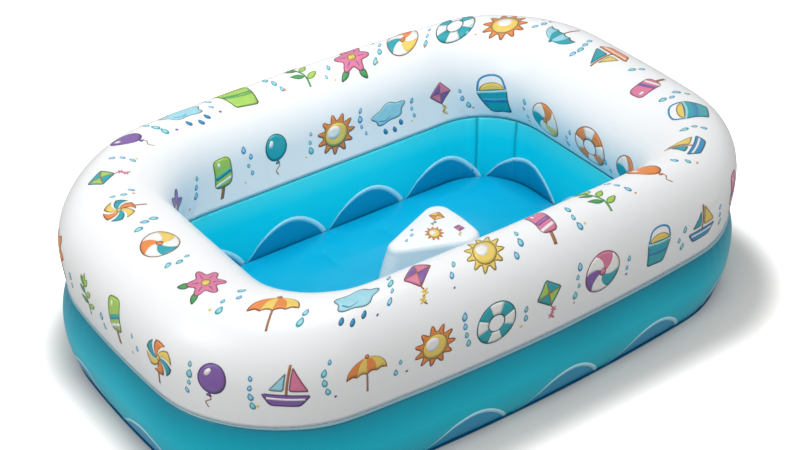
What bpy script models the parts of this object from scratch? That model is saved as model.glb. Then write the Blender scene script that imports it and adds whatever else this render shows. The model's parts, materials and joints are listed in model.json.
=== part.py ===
"""Inflatable bath: two stacked air rings, a cushioned floor, a saddle horn, three air valves and a drain.

Metres, +Z up. X runs along the bath and Z = 0 is the ground it lies on, with the origin under its middle.
Every sheet of vinyl is a closed solid as thick as the film. Pieces that touch keep a hair of air between.
"""
import math

import bmesh
import bpy
import numpy as np
from mathutils import Matrix, Vector
from mathutils.bvhtree import BVHTree

# Film and fits
FILM = 0.0004
GAP = 0.0003
OVERRUN = 0.003

# Upper ring: outer plan, mouth plan, widest level and crown
UPPER_LENGTH = 0.860
UPPER_WIDTH = 0.557
UPPER_CORNER = 0.147
MOUTH_LENGTH = 0.548
MOUTH_WIDTH = 0.366
MOUTH_CORNER = 0.090
WAIST_HEIGHT = 0.157
CROWN_RISE = 0.077

# Lower ring: outer plan, widest level and how far its foot draws in
LOWER_LENGTH = 0.879
LOWER_WIDTH = 0.569
LOWER_CORNER = 0.165
BELLY_HEIGHT = 0.054
WALL_SWELL = 0.003
FOOT_INSET = 0.013

# Swell of the straight sides of both rings
END_BULGE = 0.018
SIDE_BULGE = 0.027

# Basin: the inner wall of the lower ring
BASIN_LENGTH = 0.584
BASIN_WIDTH = 0.360
BASIN_CORNER = 0.093
BASIN_SWELL = 0.003

# Welded seams
SEAM_THICKNESS = 0.0012
OUTER_SEAM_HEIGHT = 0.100
OUTER_SEAM_INSET = 0.005
INNER_SEAM_HEIGHT = 0.104
SEAM_ROOT = 0.002
LIP_LENGTH = 0.0072
LIP_TURN_SHARE = 0.58
INNER_LIP = 0.001
BASE_SEAM_THICKNESS = 0.0006
BASE_LIP = 0.005
FLOOR_LIP = 0.004

# Floor cushion
FLOOR_HEIGHT = 0.014
FLOOR_SHOULDER = 0.045
AIR_HOLE_RADIUS = 0.006
FLOOR_TIE_COUNT = 4
FLOOR_TIE_SPACING = 0.100
FLOOR_TIE_LENGTH = 0.240

# Tie webs in the corners of the lower ring
WEB_HOLE_RADIUS = 0.018
WEB_CLEARANCE = 0.00044

# Saddle horn
HORN_TIP_FOOT = -0.049
HORN_TIP_TOP = -0.030
HORN_END = 0.092
HORN_WIDTH = 0.098
HORN_TIP_RADIUS = 0.014
HORN_CORNER = 0.022
HORN_HEIGHT = 0.090
HORN_SHOULDER = 0.010
HORN_DOME = 0.004
HORN_FLARE = 0.004
HORN_FLARE_HEIGHT = 0.010
HORN_SEAM_WIDTH = 0.007

# Air valve: the dish welded to the film, the stem that pops out of it, its flap and its stopper
DISH_FLANGE_RADIUS = 0.017
DISH_MOUTH_RADIUS = 0.0125
DISH_FLOOR_RADIUS = 0.0092
DISH_DEPTH = 0.005
DISH_WALL = 0.0008
COLLAR_LENGTH = 0.003
STEM_RADIUS = 0.0056
STEM_BORE_RADIUS = 0.0038
STEM_LENGTH = 0.015
RIM_RADIUS = 0.0077
RIM_THICKNESS = 0.0012
BEAD_RADIUS = 0.0067
BEAD_LENGTH = 0.001
FLAP_THICKNESS = 0.0004
FLAP_TAB_WIDTH = 0.003
STOPPER_CAP_RADIUS = 0.006
STOPPER_CAP_THICKNESS = 0.001
STOPPER_PLUG_LENGTH = 0.0045
STOPPER_STRAP_WIDTH = 0.004
STOPPER_TAB_REACH = 0.0024

# Drain in the floor, in from the end and the side of the basin
DRAIN_END_INSET = 0.097
DRAIN_SIDE_INSET = 0.080
DRAIN_BORE_RADIUS = 0.0085
DRAIN_TUBE_WALL = 0.002
DRAIN_FLANGE_RADIUS = 0.0157
DRAIN_FLANGE_THICKNESS = 0.001
DRAIN_CAP_RADIUS = 0.0125
DRAIN_CAP_THICKNESS = 0.0012
DRAIN_PLUG_LENGTH = 0.006
DRAIN_STRAP_WIDTH = 0.007
DRAIN_TAB_REACH = 0.006

# How finely the shapes are cut
END_STEPS = 4
SIDE_STEPS = 6
CORNER_STEPS = 8
WALL_STEPS = 3
CROWN_STEPS = 10
SHOULDER_STEPS = 4
TURN_STEPS = 20
HORN_ARC_STEPS = 7
HORN_SIDE_STEPS = 5
SHARP_ANGLE = 35

# Colour, roughness and opacity of each kind of vinyl
WHITE_VINYL = ((0.90, 0.91, 0.92), 0.28, 1.0)
TEAL_VINYL = ((0.02, 0.42, 0.55), 0.22, 0.85)
CYAN_VINYL = ((0.02, 0.62, 0.80), 0.22, 1.0)
PALE_VINYL = ((0.55, 0.72, 0.78), 0.30, 0.8)
CLEAR_VINYL = ((0.80, 0.86, 0.88), 0.20, 0.6)


def outline(length, width, corner, end_bulge=0, side_bulge=0):
    """Plan of a ring: a rounded rectangle, anticlockwise from the -Y end of its +X side.

    The straight sides swell outwards by half a cosine wave, full at mid-side and nil at the far corners.
    Every plan has the same number of points on each side and corner, so points of one number face each other.
    """
    flat_x = length / 2 - end_bulge
    flat_y = width / 2 - side_bulge
    centre_x = flat_x - corner
    centre_y = flat_y - corner
    corners = ((centre_x, centre_y), (-centre_x, centre_y), (-centre_x, -centre_y), (centre_x, -centre_y))
    points = []
    for quarter, (x, y) in enumerate(corners):
        steps = SIDE_STEPS if quarter % 2 else END_STEPS
        before = Vector(corners[quarter - 1])
        turn = quarter * math.pi / 2
        reach = Vector((math.cos(turn), math.sin(turn))) * corner
        for step in range(steps):
            points.append(before.lerp(Vector((x, y)), step / steps) + reach)
        for step in range(CORNER_STEPS):
            angle = turn + step / CORNER_STEPS * math.pi / 2
            points.append(Vector((x, y)) + Vector((math.cos(angle), math.sin(angle))) * corner)
    flat = np.array(points)
    plan = flat.copy()
    plan[:, 0] += end_bulge * np.cos(flat[:, 1] / flat_y * math.pi / 2) * flat[:, 0] / flat_x
    plan[:, 1] += side_bulge * np.cos(flat[:, 0] / flat_x * math.pi / 2) * flat[:, 1] / flat_y
    return plan


def grown(plan, distance):
    """The plan moved outwards by a distance, square to itself."""
    along = np.roll(plan, -1, 0) - np.roll(plan, 1, 0)
    outward = np.stack([along[:, 1], -along[:, 0]], 1)
    outward /= np.linalg.norm(outward, axis=1)[:, None]
    return plan + outward * distance


def mixed(plan, other, share):
    """The plan that lies this share of the way from one plan to another."""
    return plan + (other - plan) * share


def level(plan, height):
    """A plan at one height, as a row of points in space."""
    return np.column_stack([plan, np.full(len(plan), height)])


def steps_down(count):
    """Shares from 1 down to 0."""
    return [1 - step / count for step in range(count + 1)]


# Plans that the pieces share
UPPER_PLAN = outline(UPPER_LENGTH, UPPER_WIDTH, UPPER_CORNER, END_BULGE, SIDE_BULGE)
MOUTH_PLAN = outline(MOUTH_LENGTH, MOUTH_WIDTH, MOUTH_CORNER)
LOWER_PLAN = outline(LOWER_LENGTH, LOWER_WIDTH, LOWER_CORNER, END_BULGE, SIDE_BULGE)
BASIN_PLAN = outline(BASIN_LENGTH, BASIN_WIDTH, BASIN_CORNER)
OUTER_SEAM_PLAN = grown(UPPER_PLAN, -OUTER_SEAM_INSET)
FOOT_PLAN = grown(LOWER_PLAN, -FOOT_INSET)

# Heights where the films meet their seams
HALF_SEAM = SEAM_THICKNESS / 2
BASE_SEAM_LOW = FILM + GAP
FOOT_HEIGHT = BASE_SEAM_LOW + BASE_SEAM_THICKNESS + GAP


def finish(mesh_object, vinyl):
    """Give a piece its own material."""
    colour, roughness, opacity = vinyl
    material = bpy.data.materials.new(mesh_object.name)
    material.use_nodes = True
    shader = material.node_tree.nodes["Principled BSDF"]
    shader.inputs["Base Color"].default_value = (*colour, 1)
    shader.inputs["Roughness"].default_value = roughness
    shader.inputs["Metallic"].default_value = 0
    shader.inputs["Alpha"].default_value = opacity
    mesh_object.data.materials.append(material)


def solid(name, points, faces, vinyl=None, parent=None):
    """An object from points and faces, with its faces turned outwards and its round sides smooth."""
    mesh = bpy.data.meshes.new(name)
    mesh.from_pydata([tuple(point) for point in points], [], faces)
    shape = bmesh.new()
    shape.from_mesh(mesh)
    bmesh.ops.recalc_face_normals(shape, faces=shape.faces)
    shape.to_mesh(mesh)
    shape.free()
    mesh.shade_smooth()
    mesh.set_sharp_from_angle(angle=math.radians(SHARP_ANGLE))
    mesh_object = bpy.data.objects.new(name, mesh)
    bpy.context.collection.objects.link(mesh_object)
    mesh_object.parent = parent
    if vinyl:
        finish(mesh_object, vinyl)
    return mesh_object


def facets(levels, places, closed=True, left_out=()):
    """Two triangles for each cell of a grid of points, by level and place, but for the cells left out."""
    triangles = []
    for row in range(levels - 1):
        for place in range(places if closed else places - 1):
            if (row, place) not in left_out:
                beside = (place + 1) % places
                below, above = row * places, (row + 1) * places
                triangles.append([below + place, below + beside, above + beside])
                triangles.append([below + place, above + beside, above + place])
    return triangles


def wall_tree(face):
    """The facets of a wall's face, to be met by a line."""
    return BVHTree.FromPolygons([Vector(point) for point in face.reshape(-1, 3)], facets(*face.shape[:2]))


def web_end(wall, start, heading):
    """Where a web ends in plan on its level way to a wall, clear of the wall's film however that leans."""
    hit, normal = wall.ray_cast(start, heading)[:2]
    end = hit - heading * (FILM + WEB_CLEARANCE) / abs(normal.dot(heading))
    return np.array(end)[:2]


def film(name, face, vinyl, closed=True, capped=False, left_out=()):
    """A film of vinyl whose outer face is a grid of points, by level and by place along the level.

    The back lies one film's thickness inside the face, square to it. A closed grid runs right round the bath.
    A capped one is also closed over its last level, which is flat. The cells left out are a hole in the film.
    Each edge that belongs to one facet only is an edge of the film, and a narrow face joins it to the back.
    """
    levels, places = face.shape[:2]
    if closed:
        along = np.roll(face, -1, 1) - np.roll(face, 1, 1)
    else:
        along = np.gradient(face, axis=1)
    outward = np.cross(along, np.gradient(face, axis=0))
    outward /= np.linalg.norm(outward, axis=2)[:, :, None]
    points = np.concatenate([face.reshape(-1, 3), (face - outward * FILM).reshape(-1, 3)])
    back = levels * places
    fronts = facets(levels, places, closed, left_out)
    if capped:
        fronts.append([(levels - 1) * places + place for place in range(places)])
    faces = list(fronts)
    faces += [[back + corner for corner in reversed(front)] for front in fronts]
    edges = {edge for front in fronts for edge in zip(front, front[1:] + front[:1])}
    rims = [edge for edge in sorted(edges) if edge[::-1] not in edges]
    faces += [[end, start, back + start, back + end] for start, end in rims]
    return solid(name, points, faces, vinyl)


def hoop(name, rows, vinyl):
    """A solid ring: rows of points round the bath, one for each corner of its section."""
    count = len(rows)
    places = len(rows[0])
    faces = []
    for row in range(count):
        for place in range(places):
            beside = (place + 1) % places
            following = (row + 1) % count * places
            faces.append([row * places + place, row * places + beside, following + beside, following + place])
    return solid(name, np.concatenate(rows), faces, vinyl)


def prism(name, lower, upper, vinyl=None, parent=None):
    """A solid between two rows of points that face each other, each closed by a flat face."""
    count = len(lower)
    faces = [list(range(count)), list(range(count, 2 * count))]
    for place in range(count):
        beside = (place + 1) % count
        faces.append([place, beside, count + beside, count + place])
    return solid(name, np.concatenate([lower, upper]), faces, vinyl, parent)


def band(name, root, lip, low, high, vinyl):
    """A flat band round the bath between two plans."""
    hoop(name, [level(root, low), level(lip, low), level(lip, high), level(root, high)], vinyl)


def slab(name, plan, low, high, vinyl=None, parent=None):
    """A flat plate with a plan's outline."""
    return prism(name, level(plan, low), level(plan, high), vinyl, parent)


def turned(name, profile, vinyl=None, parent=None):
    """A piece turned about its Z axis from a closed profile of radii and heights."""
    count = len(profile)
    points = []
    faces = []
    for step in range(TURN_STEPS):
        angle = step / TURN_STEPS * 2 * math.pi
        for radius, height in profile:
            points.append((radius * math.cos(angle), radius * math.sin(angle), height))
        start = step * count
        following = (step + 1) % TURN_STEPS * count
        for corner in range(count):
            beside = (corner + 1) % count
            faces.append([start + corner, following + corner, following + beside, start + beside])
    return solid(name, points, faces, vinyl, parent)


def circle(radius, share_from=0, share_to=1, steps=TURN_STEPS):
    """Points on a circle from one share of a turn to another. A whole circle doesn't repeat its first."""
    angles = np.linspace(share_from, share_to, steps + 1) * 2 * math.pi
    if share_to - share_from == 1:
        angles = angles[:-1]
    return np.stack([np.cos(angles), np.sin(angles)], 1) * radius


def rod(name, low_radius, high_radius, low, high, parent=None):
    """A round tapered tool along its own Z axis."""
    return prism(name, level(circle(low_radius), low), level(circle(high_radius), high), None, parent)


def combine(mesh_object, tool, operation):
    """Cut a tool out of an object, or join it on. The tool itself stays hidden."""
    tool.hide_render = True
    tool.display_type = "WIRE"
    modifier = mesh_object.modifiers.new(tool.name, "BOOLEAN")
    modifier.operation = operation
    modifier.solver = "EXACT"
    modifier.object = tool


def place_empty(name, matrix):
    """An empty that carries the pieces of a fitting."""
    empty = bpy.data.objects.new(name, None)
    bpy.context.collection.objects.link(empty)
    empty.matrix_world = matrix
    return empty


def on_face(face, row, place):
    """Where a fitting sits on a film: the middle of one of its facets, +Z off the film and +X uphill."""
    beside = (place + 1) % face.shape[1]
    low_a, low_b = Vector(face[row, place]), Vector(face[row, beside])
    high_a, high_b = Vector(face[row + 1, place]), Vector(face[row + 1, beside])
    middle = (low_a + low_b + high_a + high_b) / 4
    normal = (high_b - low_a).cross(high_a - low_b).normalized()
    uphill = (Vector((0, 0, 1)) - normal * normal.z).normalized()
    sideways = normal.cross(uphill)
    turn = Matrix((uphill, sideways, normal)).transposed()
    return Matrix.Translation(middle) @ turn.to_4x4()


def upper_ring_face():
    """Outer face of the upper ring, from its outer seam over the crown to its inner seam.

    Below the waist the wall draws in to each seam by the square of the way down. Above it the section is half
    an ellipse, from the outer plan to the mouth.
    """
    rows = []
    low = OUTER_SEAM_HEIGHT + HALF_SEAM + GAP
    for share in steps_down(WALL_STEPS)[:-1]:
        height = WAIST_HEIGHT - (WAIST_HEIGHT - low) * share
        rows.append(level(mixed(UPPER_PLAN, OUTER_SEAM_PLAN, share ** 2), height))
    for step in range(CROWN_STEPS + 1):
        angle = step / CROWN_STEPS * math.pi
        plan = mixed(UPPER_PLAN, MOUTH_PLAN, (1 - math.cos(angle)) / 2)
        rows.append(level(plan, WAIST_HEIGHT + CROWN_RISE * math.sin(angle)))
    low = INNER_SEAM_HEIGHT + HALF_SEAM + GAP
    for share in reversed(steps_down(WALL_STEPS)[:-1]):
        height = WAIST_HEIGHT - (WAIST_HEIGHT - low) * share
        rows.append(level(mixed(MOUTH_PLAN, BASIN_PLAN, share ** 2), height))
    return np.array(rows)


def outer_wall_plan(height):
    """Plan of the lower ring's outer wall.

    Above the belly it runs straight to the seam, with a parabola's swell between them. Below the belly it
    draws in to the foot by the square of the way down.
    """
    top = OUTER_SEAM_HEIGHT - HALF_SEAM - GAP
    if height > BELLY_HEIGHT:
        share = (height - BELLY_HEIGHT) / (top - BELLY_HEIGHT)
        return grown(mixed(LOWER_PLAN, OUTER_SEAM_PLAN, share), WALL_SWELL * 4 * share * (1 - share))
    return mixed(LOWER_PLAN, FOOT_PLAN, ((BELLY_HEIGHT - height) / (BELLY_HEIGHT - FOOT_HEIGHT)) ** 2)


def inner_wall_plan(height):
    """Plan of the basin's wall, which swells a little towards the basin at half height."""
    top = INNER_SEAM_HEIGHT - HALF_SEAM - GAP
    share = (height - FOOT_HEIGHT) / (top - FOOT_HEIGHT)
    return grown(BASIN_PLAN, -BASIN_SWELL * math.sin(math.pi * share))


def outer_wall_face():
    """Outer face of the lower ring's outer wall, from its foot up."""
    top = OUTER_SEAM_HEIGHT - HALF_SEAM - GAP
    heights = [BELLY_HEIGHT - (BELLY_HEIGHT - FOOT_HEIGHT) * share for share in steps_down(WALL_STEPS)]
    heights += [top - (top - BELLY_HEIGHT) * share for share in steps_down(WALL_STEPS)[1:]]
    return np.array([level(outer_wall_plan(height), height) for height in heights])


def inner_wall_face():
    """Face of the basin's wall towards the basin. Its levels run from the top down, so it faces inwards."""
    top = INNER_SEAM_HEIGHT - HALF_SEAM - GAP
    heights = [FOOT_HEIGHT + (top - FOOT_HEIGHT) * share for share in steps_down(SHOULDER_STEPS)]
    return np.array([level(inner_wall_plan(height), height) for height in heights])


def floor_face():
    """Top of the floor cushion: it rises from its seam as a quarter of an ellipse, then runs flat."""
    edge = grown(BASIN_PLAN, -SEAM_ROOT)
    flat = grown(BASIN_PLAN, -SEAM_ROOT - FLOOR_SHOULDER)
    rows = []
    for step in range(SHOULDER_STEPS + 1):
        angle = step / SHOULDER_STEPS * math.pi / 2
        height = FOOT_HEIGHT + FILM + (FLOOR_HEIGHT - FOOT_HEIGHT - FILM) * math.sin(angle)
        rows.append(level(mixed(edge, flat, 1 - math.cos(angle)), height))
    return np.array(rows)


def horn_plan(tip):
    """Plan of the saddle horn: straight lines round a small circle at its tip and one at each end corner."""
    tip_centre = Vector((tip + HORN_TIP_RADIUS, 0))
    end_centre = Vector((HORN_END - HORN_CORNER, HORN_WIDTH / 2 - HORN_CORNER))
    between = end_centre - tip_centre
    lean = math.atan2(between.y, between.x) + math.acos((HORN_TIP_RADIUS - HORN_CORNER) / between.length)
    lean_share = lean / (2 * math.pi)
    left = circle(HORN_CORNER, 0, lean_share, HORN_ARC_STEPS) + np.array(end_centre)
    point = circle(HORN_TIP_RADIUS, lean_share, 1 - lean_share, HORN_ARC_STEPS) + np.array(tip_centre)
    right = circle(HORN_CORNER, 1 - lean_share, 1, HORN_ARC_STEPS) + np.array((end_centre.x, -end_centre.y))
    arcs = [left, point, right]
    points = []
    for arc, following in zip(arcs, arcs[1:] + arcs[:1]):
        points += list(arc)
        for step in range(1, HORN_SIDE_STEPS):
            points.append(mixed(arc[-1], following[0], step / HORN_SIDE_STEPS))
    return np.array(points)


def horn_face():
    """Outer face of the horn: a flared foot, a tip that leans back, a round shoulder and a low dome."""
    low = FLOOR_HEIGHT + GAP + BASE_SEAM_THICKNESS + GAP
    side_top = HORN_HEIGHT - HORN_DOME - HORN_SHOULDER
    foot_plan = horn_plan(HORN_TIP_FOOT)
    top_plan = horn_plan(HORN_TIP_TOP)
    rows = [level(grown(foot_plan, HORN_FLARE), low)]
    for share in steps_down(WALL_STEPS):
        height = side_top - (side_top - low - HORN_FLARE_HEIGHT) * share
        lean_share = (side_top - height) / (side_top - low)
        rows.append(level(mixed(top_plan, foot_plan, lean_share), height))
    for step in range(1, SHOULDER_STEPS):
        angle = step / SHOULDER_STEPS * math.pi / 2
        inset = HORN_SHOULDER * (1 - math.cos(angle))
        rows.append(level(grown(top_plan, -inset), side_top + HORN_SHOULDER * math.sin(angle)))
    brow = grown(top_plan, -HORN_SHOULDER)
    middle = brow.mean(axis=0)
    for step in range(WALL_STEPS):
        share = step / WALL_STEPS
        height = side_top + HORN_SHOULDER + HORN_DOME * (1 - (1 - share) ** 2)
        rows.append(level(mixed(brow, middle, share), height))
    return np.array(rows)


def make_rings():
    """The films of both rings and the sheet between their air chambers."""
    upper = film("upper_ring_skin", upper_ring_face(), WHITE_VINYL)
    outer = film("lower_ring_outer_wall", outer_wall_face(), TEAL_VINYL)
    film("basin_wall", inner_wall_face(), CYAN_VINYL)
    outer_edge = level(grown(OUTER_SEAM_PLAN, -SEAM_ROOT - GAP), OUTER_SEAM_HEIGHT + FILM / 2)
    inner_edge = level(grown(BASIN_PLAN, SEAM_ROOT + GAP), INNER_SEAM_HEIGHT + FILM / 2)
    film("chamber_divider", np.array([outer_edge, inner_edge]), CLEAR_VINYL)
    return upper, outer


def wall_turn():
    """How steeply the lower ring's outer wall falls away from its seam, as an angle, where it is flattest."""
    inset = max(LOWER_LENGTH - UPPER_LENGTH, LOWER_WIDTH - UPPER_WIDTH) / 2 + OUTER_SEAM_INSET
    top = OUTER_SEAM_HEIGHT - HALF_SEAM - GAP
    return math.atan2(top - BELLY_HEIGHT, inset + WALL_SWELL * 4)


def make_seams():
    """The welded bands that hold the films' edges, with the lips that show."""
    high, low = OUTER_SEAM_HEIGHT + HALF_SEAM, OUTER_SEAM_HEIGHT - HALF_SEAM
    turn = wall_turn() * LIP_TURN_SHARE
    droop = LIP_LENGTH * math.sin(turn)
    root = grown(OUTER_SEAM_PLAN, -SEAM_ROOT)
    lip = grown(OUTER_SEAM_PLAN, LIP_LENGTH * math.cos(turn))
    rows = [level(root, high), level(OUTER_SEAM_PLAN, high), level(lip, high - droop)]
    rows += [level(lip, low - droop), level(OUTER_SEAM_PLAN, low), level(root, low)]
    hoop("outer_seam_weld", rows, PALE_VINYL)
    high, low = INNER_SEAM_HEIGHT + HALF_SEAM, INNER_SEAM_HEIGHT - HALF_SEAM
    root = grown(BASIN_PLAN, SEAM_ROOT)
    lip = grown(BASIN_PLAN, -INNER_LIP)
    band("inner_seam_weld", root, lip, low, high, CYAN_VINYL)
    low, high = BASE_SEAM_LOW, BASE_SEAM_LOW + BASE_SEAM_THICKNESS
    root = grown(FOOT_PLAN, -SEAM_ROOT)
    lip = grown(FOOT_PLAN, BASE_LIP)
    band("base_seam_weld", root, lip, low, high, TEAL_VINYL)
    root = grown(BASIN_PLAN, SEAM_ROOT)
    lip = grown(BASIN_PLAN, -FLOOR_LIP)
    band("floor_seam_weld", root, lip, low, high, CYAN_VINYL)


def make_webs():
    """A film across the lower ring at each end of each corner, which keeps the basin's wall upright and flat.

    Each stands in one upright plane, and its ends follow the facets of both walls at each height. It has an
    air hole at the height of the belly: a hexagon, whose corners are the points round two cells left out.
    """
    low = FOOT_HEIGHT
    middle = BELLY_HEIGHT
    high = OUTER_SEAM_HEIGHT - HALF_SEAM - GAP - SEAM_THICKNESS
    rise = WEB_HOLE_RADIUS * math.sin(math.pi / 3)
    heights = [high, (high + middle + rise) / 2, middle + rise, middle]
    heights += [middle - rise, (low + middle - rise) / 2, low]
    sixth_share = 1 / 6
    inside_share = 1 / 4
    corner_start = END_STEPS
    columns = []
    for steps in (SIDE_STEPS, END_STEPS, SIDE_STEPS, END_STEPS):
        columns += [corner_start, corner_start + CORNER_STEPS]
        corner_start += CORNER_STEPS + steps
    inner_wall = wall_tree(inner_wall_face())
    outer_wall = wall_tree(outer_wall_face())
    for number, column in enumerate(columns, 1):
        column %= len(BASIN_PLAN)
        start = Vector((*mixed(BASIN_PLAN[column], LOWER_PLAN[column], inside_share), 0))
        heading = Vector((*(LOWER_PLAN[column] - BASIN_PLAN[column]), 0)).normalized()
        rows = []
        for height in heights:
            start.z = height
            inner = web_end(inner_wall, start, -heading)
            outer = web_end(outer_wall, start, heading)
            hole_share = WEB_HOLE_RADIUS / np.linalg.norm(outer - inner)
            half_share = {middle: hole_share, heights[2]: hole_share / 2, heights[4]: hole_share / 2}
            beside = half_share.get(height, sixth_share)
            shares = np.array([0, 1 / 2 - beside, 1 / 2 + beside, 1])
            rows.append(level(inner + (outer - inner) * shares[:, None], height))
        film(f"tie_web_{number}", np.array(rows), CLEAR_VINYL, closed=False, left_out=((2, 1), (3, 1)))


def make_floor_ties():
    """Upright strips across the floor cushion, which hold its top flat over the base sheet."""
    half = FILM / 2
    reach = FLOOR_TIE_LENGTH / 2
    for number in range(FLOOR_TIE_COUNT):
        middle = (number - (FLOOR_TIE_COUNT - 1) / 2) * FLOOR_TIE_SPACING
        near, far = middle - half, middle + half
        plan = np.array([(near, -reach), (far, -reach), (far, reach), (near, reach)])
        slab(f"floor_tie_{number + 1}", plan, FILM + GAP, FLOOR_HEIGHT - FILM - GAP, CLEAR_VINYL)


def make_stopper(name, parent, rim_top, bore, pivot, cap, strap_width, tab_reach, plug_length):
    """A stopper on a short strap, which turns about the strap's end at the rim.

    The plug tapers so that its far edge stays inside the bore as it swings out. The object's origin is on the
    hinge, and its own X axis points from the stopper to the hinge.
    """
    cap_radius, cap_thickness = cap
    base = GAP / 2
    tip_height = base - plug_length
    tip_radius = math.sqrt((pivot + bore) ** 2 - tip_height ** 2) - pivot - GAP
    half_strap = strap_width / 2
    strap_turn = math.asin(half_strap / cap_radius) / (2 * math.pi)
    side = circle(cap_radius, strap_turn, 1 / 2 - strap_turn, TURN_STEPS // 2)
    other = circle(cap_radius, 1 / 2 + strap_turn, 1 - strap_turn, TURN_STEPS // 2)
    tab = np.array([(-cap_radius - tab_reach, half_strap), (-cap_radius - tab_reach, -half_strap)])
    strap = np.array([(pivot, -half_strap), (pivot, half_strap)])
    plan = np.concatenate([side, tab, other, strap]) - np.array((pivot, 0))
    stopper = slab(name, plan, base, base + cap_thickness, CLEAR_VINYL, parent)
    stopper.location = (pivot, 0, rim_top + GAP / 2)
    plug = rod(f"{name}_plug", tip_radius, bore - GAP, tip_height, base + cap_thickness / 2, stopper)
    plug.location = (-pivot, 0, 0)
    combine(stopper, plug, "UNION")


def make_valve(prefix, place, film_object):
    """One air valve on a film: the dish, the stem that slides in its collar, the flap and the stopper."""
    carrier = place_empty(f"{prefix}_valve_place", place)
    top = GAP + DISH_WALL
    floor = top - DISH_DEPTH
    collar_radius = STEM_RADIUS + GAP
    collar_end = floor - COLLAR_LENGTH
    dish = [(DISH_FLANGE_RADIUS, top), (DISH_MOUTH_RADIUS, top), (DISH_FLOOR_RADIUS, floor)]
    dish += [(collar_radius, floor), (collar_radius, collar_end), (collar_radius + DISH_WALL, collar_end)]
    dish += [(collar_radius + DISH_WALL, floor - DISH_WALL)]
    dish += [(DISH_FLOOR_RADIUS + DISH_WALL, floor - DISH_WALL)]
    dish += [(DISH_MOUTH_RADIUS + DISH_WALL, GAP), (DISH_FLANGE_RADIUS, GAP)]
    turned(f"{prefix}_valve_dish", dish, CLEAR_VINYL, carrier)
    hole_radius = DISH_MOUTH_RADIUS + DISH_WALL + GAP
    tool = rod(f"{prefix}_valve_hole", hole_radius, hole_radius, -OVERRUN, OVERRUN, carrier)
    combine(film_object, tool, "DIFFERENCE")
    rim_low = floor + GAP
    rim_top = rim_low + RIM_THICKNESS
    stem_end = rim_top - STEM_LENGTH
    stem = [(STEM_BORE_RADIUS, rim_top), (STEM_BORE_RADIUS, stem_end), (BEAD_RADIUS, stem_end)]
    stem += [(BEAD_RADIUS, stem_end + BEAD_LENGTH), (STEM_RADIUS, stem_end + BEAD_LENGTH)]
    stem += [(STEM_RADIUS, rim_low), (RIM_RADIUS, rim_low), (RIM_RADIUS, rim_top)]
    turned(f"{prefix}_valve_stem", stem, CLEAR_VINYL, carrier)
    flap_radius = (STEM_BORE_RADIUS + STEM_RADIUS) / 2
    tab_turn = math.asin(FLAP_TAB_WIDTH / 2 / flap_radius) / (2 * math.pi)
    plan = np.concatenate([
        circle(flap_radius, tab_turn, 1 - tab_turn, TURN_STEPS),
        np.array([(STEM_RADIUS, -FLAP_TAB_WIDTH / 2), (STEM_RADIUS, FLAP_TAB_WIDTH / 2)]),
    ]) - np.array((STEM_RADIUS, 0))
    flap = slab(f"{prefix}_valve_flap", plan, -GAP / 2 - FLAP_THICKNESS, -GAP / 2, CLEAR_VINYL, carrier)
    flap.location = (STEM_RADIUS, 0, stem_end - GAP / 2)
    cap = (STOPPER_CAP_RADIUS, STOPPER_CAP_THICKNESS)
    make_stopper(f"{prefix}_valve_stopper", carrier, rim_top, STEM_BORE_RADIUS, RIM_RADIUS + GAP, cap,
                 STOPPER_STRAP_WIDTH, STOPPER_TAB_REACH, STOPPER_PLUG_LENGTH)


def make_floor():
    """The sheet the bath lies on and the cushion over it, with the drain through both."""
    base = slab("base_sheet", grown(FOOT_PLAN, BASE_LIP), 0, FILM, CYAN_VINYL)
    floor = film("floor_sheet", floor_face(), CYAN_VINYL, capped=True)
    low, high = FLOOR_HEIGHT - OVERRUN, FLOOR_HEIGHT + OVERRUN
    air_hole = rod("air_hole", AIR_HOLE_RADIUS, AIR_HOLE_RADIUS, low, high)
    combine(floor, air_hole, "DIFFERENCE")
    drain_x = DRAIN_END_INSET - BASIN_LENGTH / 2
    drain_y = DRAIN_SIDE_INSET - BASIN_WIDTH / 2
    carrier = place_empty("drain_place", Matrix.Translation((drain_x, drain_y, FLOOR_HEIGHT)))
    tube_radius = DRAIN_BORE_RADIUS + DRAIN_TUBE_WALL
    top = GAP + DRAIN_FLANGE_THICKNESS
    foot = GAP - FLOOR_HEIGHT
    seat = [(DRAIN_FLANGE_RADIUS, top), (DRAIN_BORE_RADIUS, top), (DRAIN_BORE_RADIUS, foot)]
    seat += [(tube_radius, foot), (tube_radius, GAP), (DRAIN_FLANGE_RADIUS, GAP)]
    turned("drain_seat", seat, CLEAR_VINYL, carrier)
    hole_radius = tube_radius + GAP
    tool = rod("drain_hole", hole_radius, hole_radius, -FLOOR_HEIGHT - OVERRUN, OVERRUN, carrier)
    combine(base, tool, "DIFFERENCE")
    combine(floor, tool, "DIFFERENCE")
    cap = (DRAIN_CAP_RADIUS, DRAIN_CAP_THICKNESS)
    make_stopper("drain_plug", carrier, top, DRAIN_BORE_RADIUS, DRAIN_FLANGE_RADIUS + GAP, cap,
                 DRAIN_STRAP_WIDTH, DRAIN_TAB_REACH, DRAIN_PLUG_LENGTH)


def make_horn():
    """The saddle horn that stands on the floor, and the seam round its foot."""
    face = horn_face()
    horn = film("horn_skin", face, WHITE_VINYL, capped=True)
    foot = face[0, :, :2]
    low = FLOOR_HEIGHT + GAP
    root = grown(foot, -SEAM_ROOT)
    lip = grown(foot, HORN_SEAM_WIDTH - SEAM_ROOT)
    band("horn_seam_weld", root, lip, low, low + BASE_SEAM_THICKNESS, WHITE_VINYL)
    end_place = face.shape[1] - 1 - HORN_SIDE_STEPS // 2
    make_valve("horn", on_face(face, WALL_STEPS - 1, end_place), horn)


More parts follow.
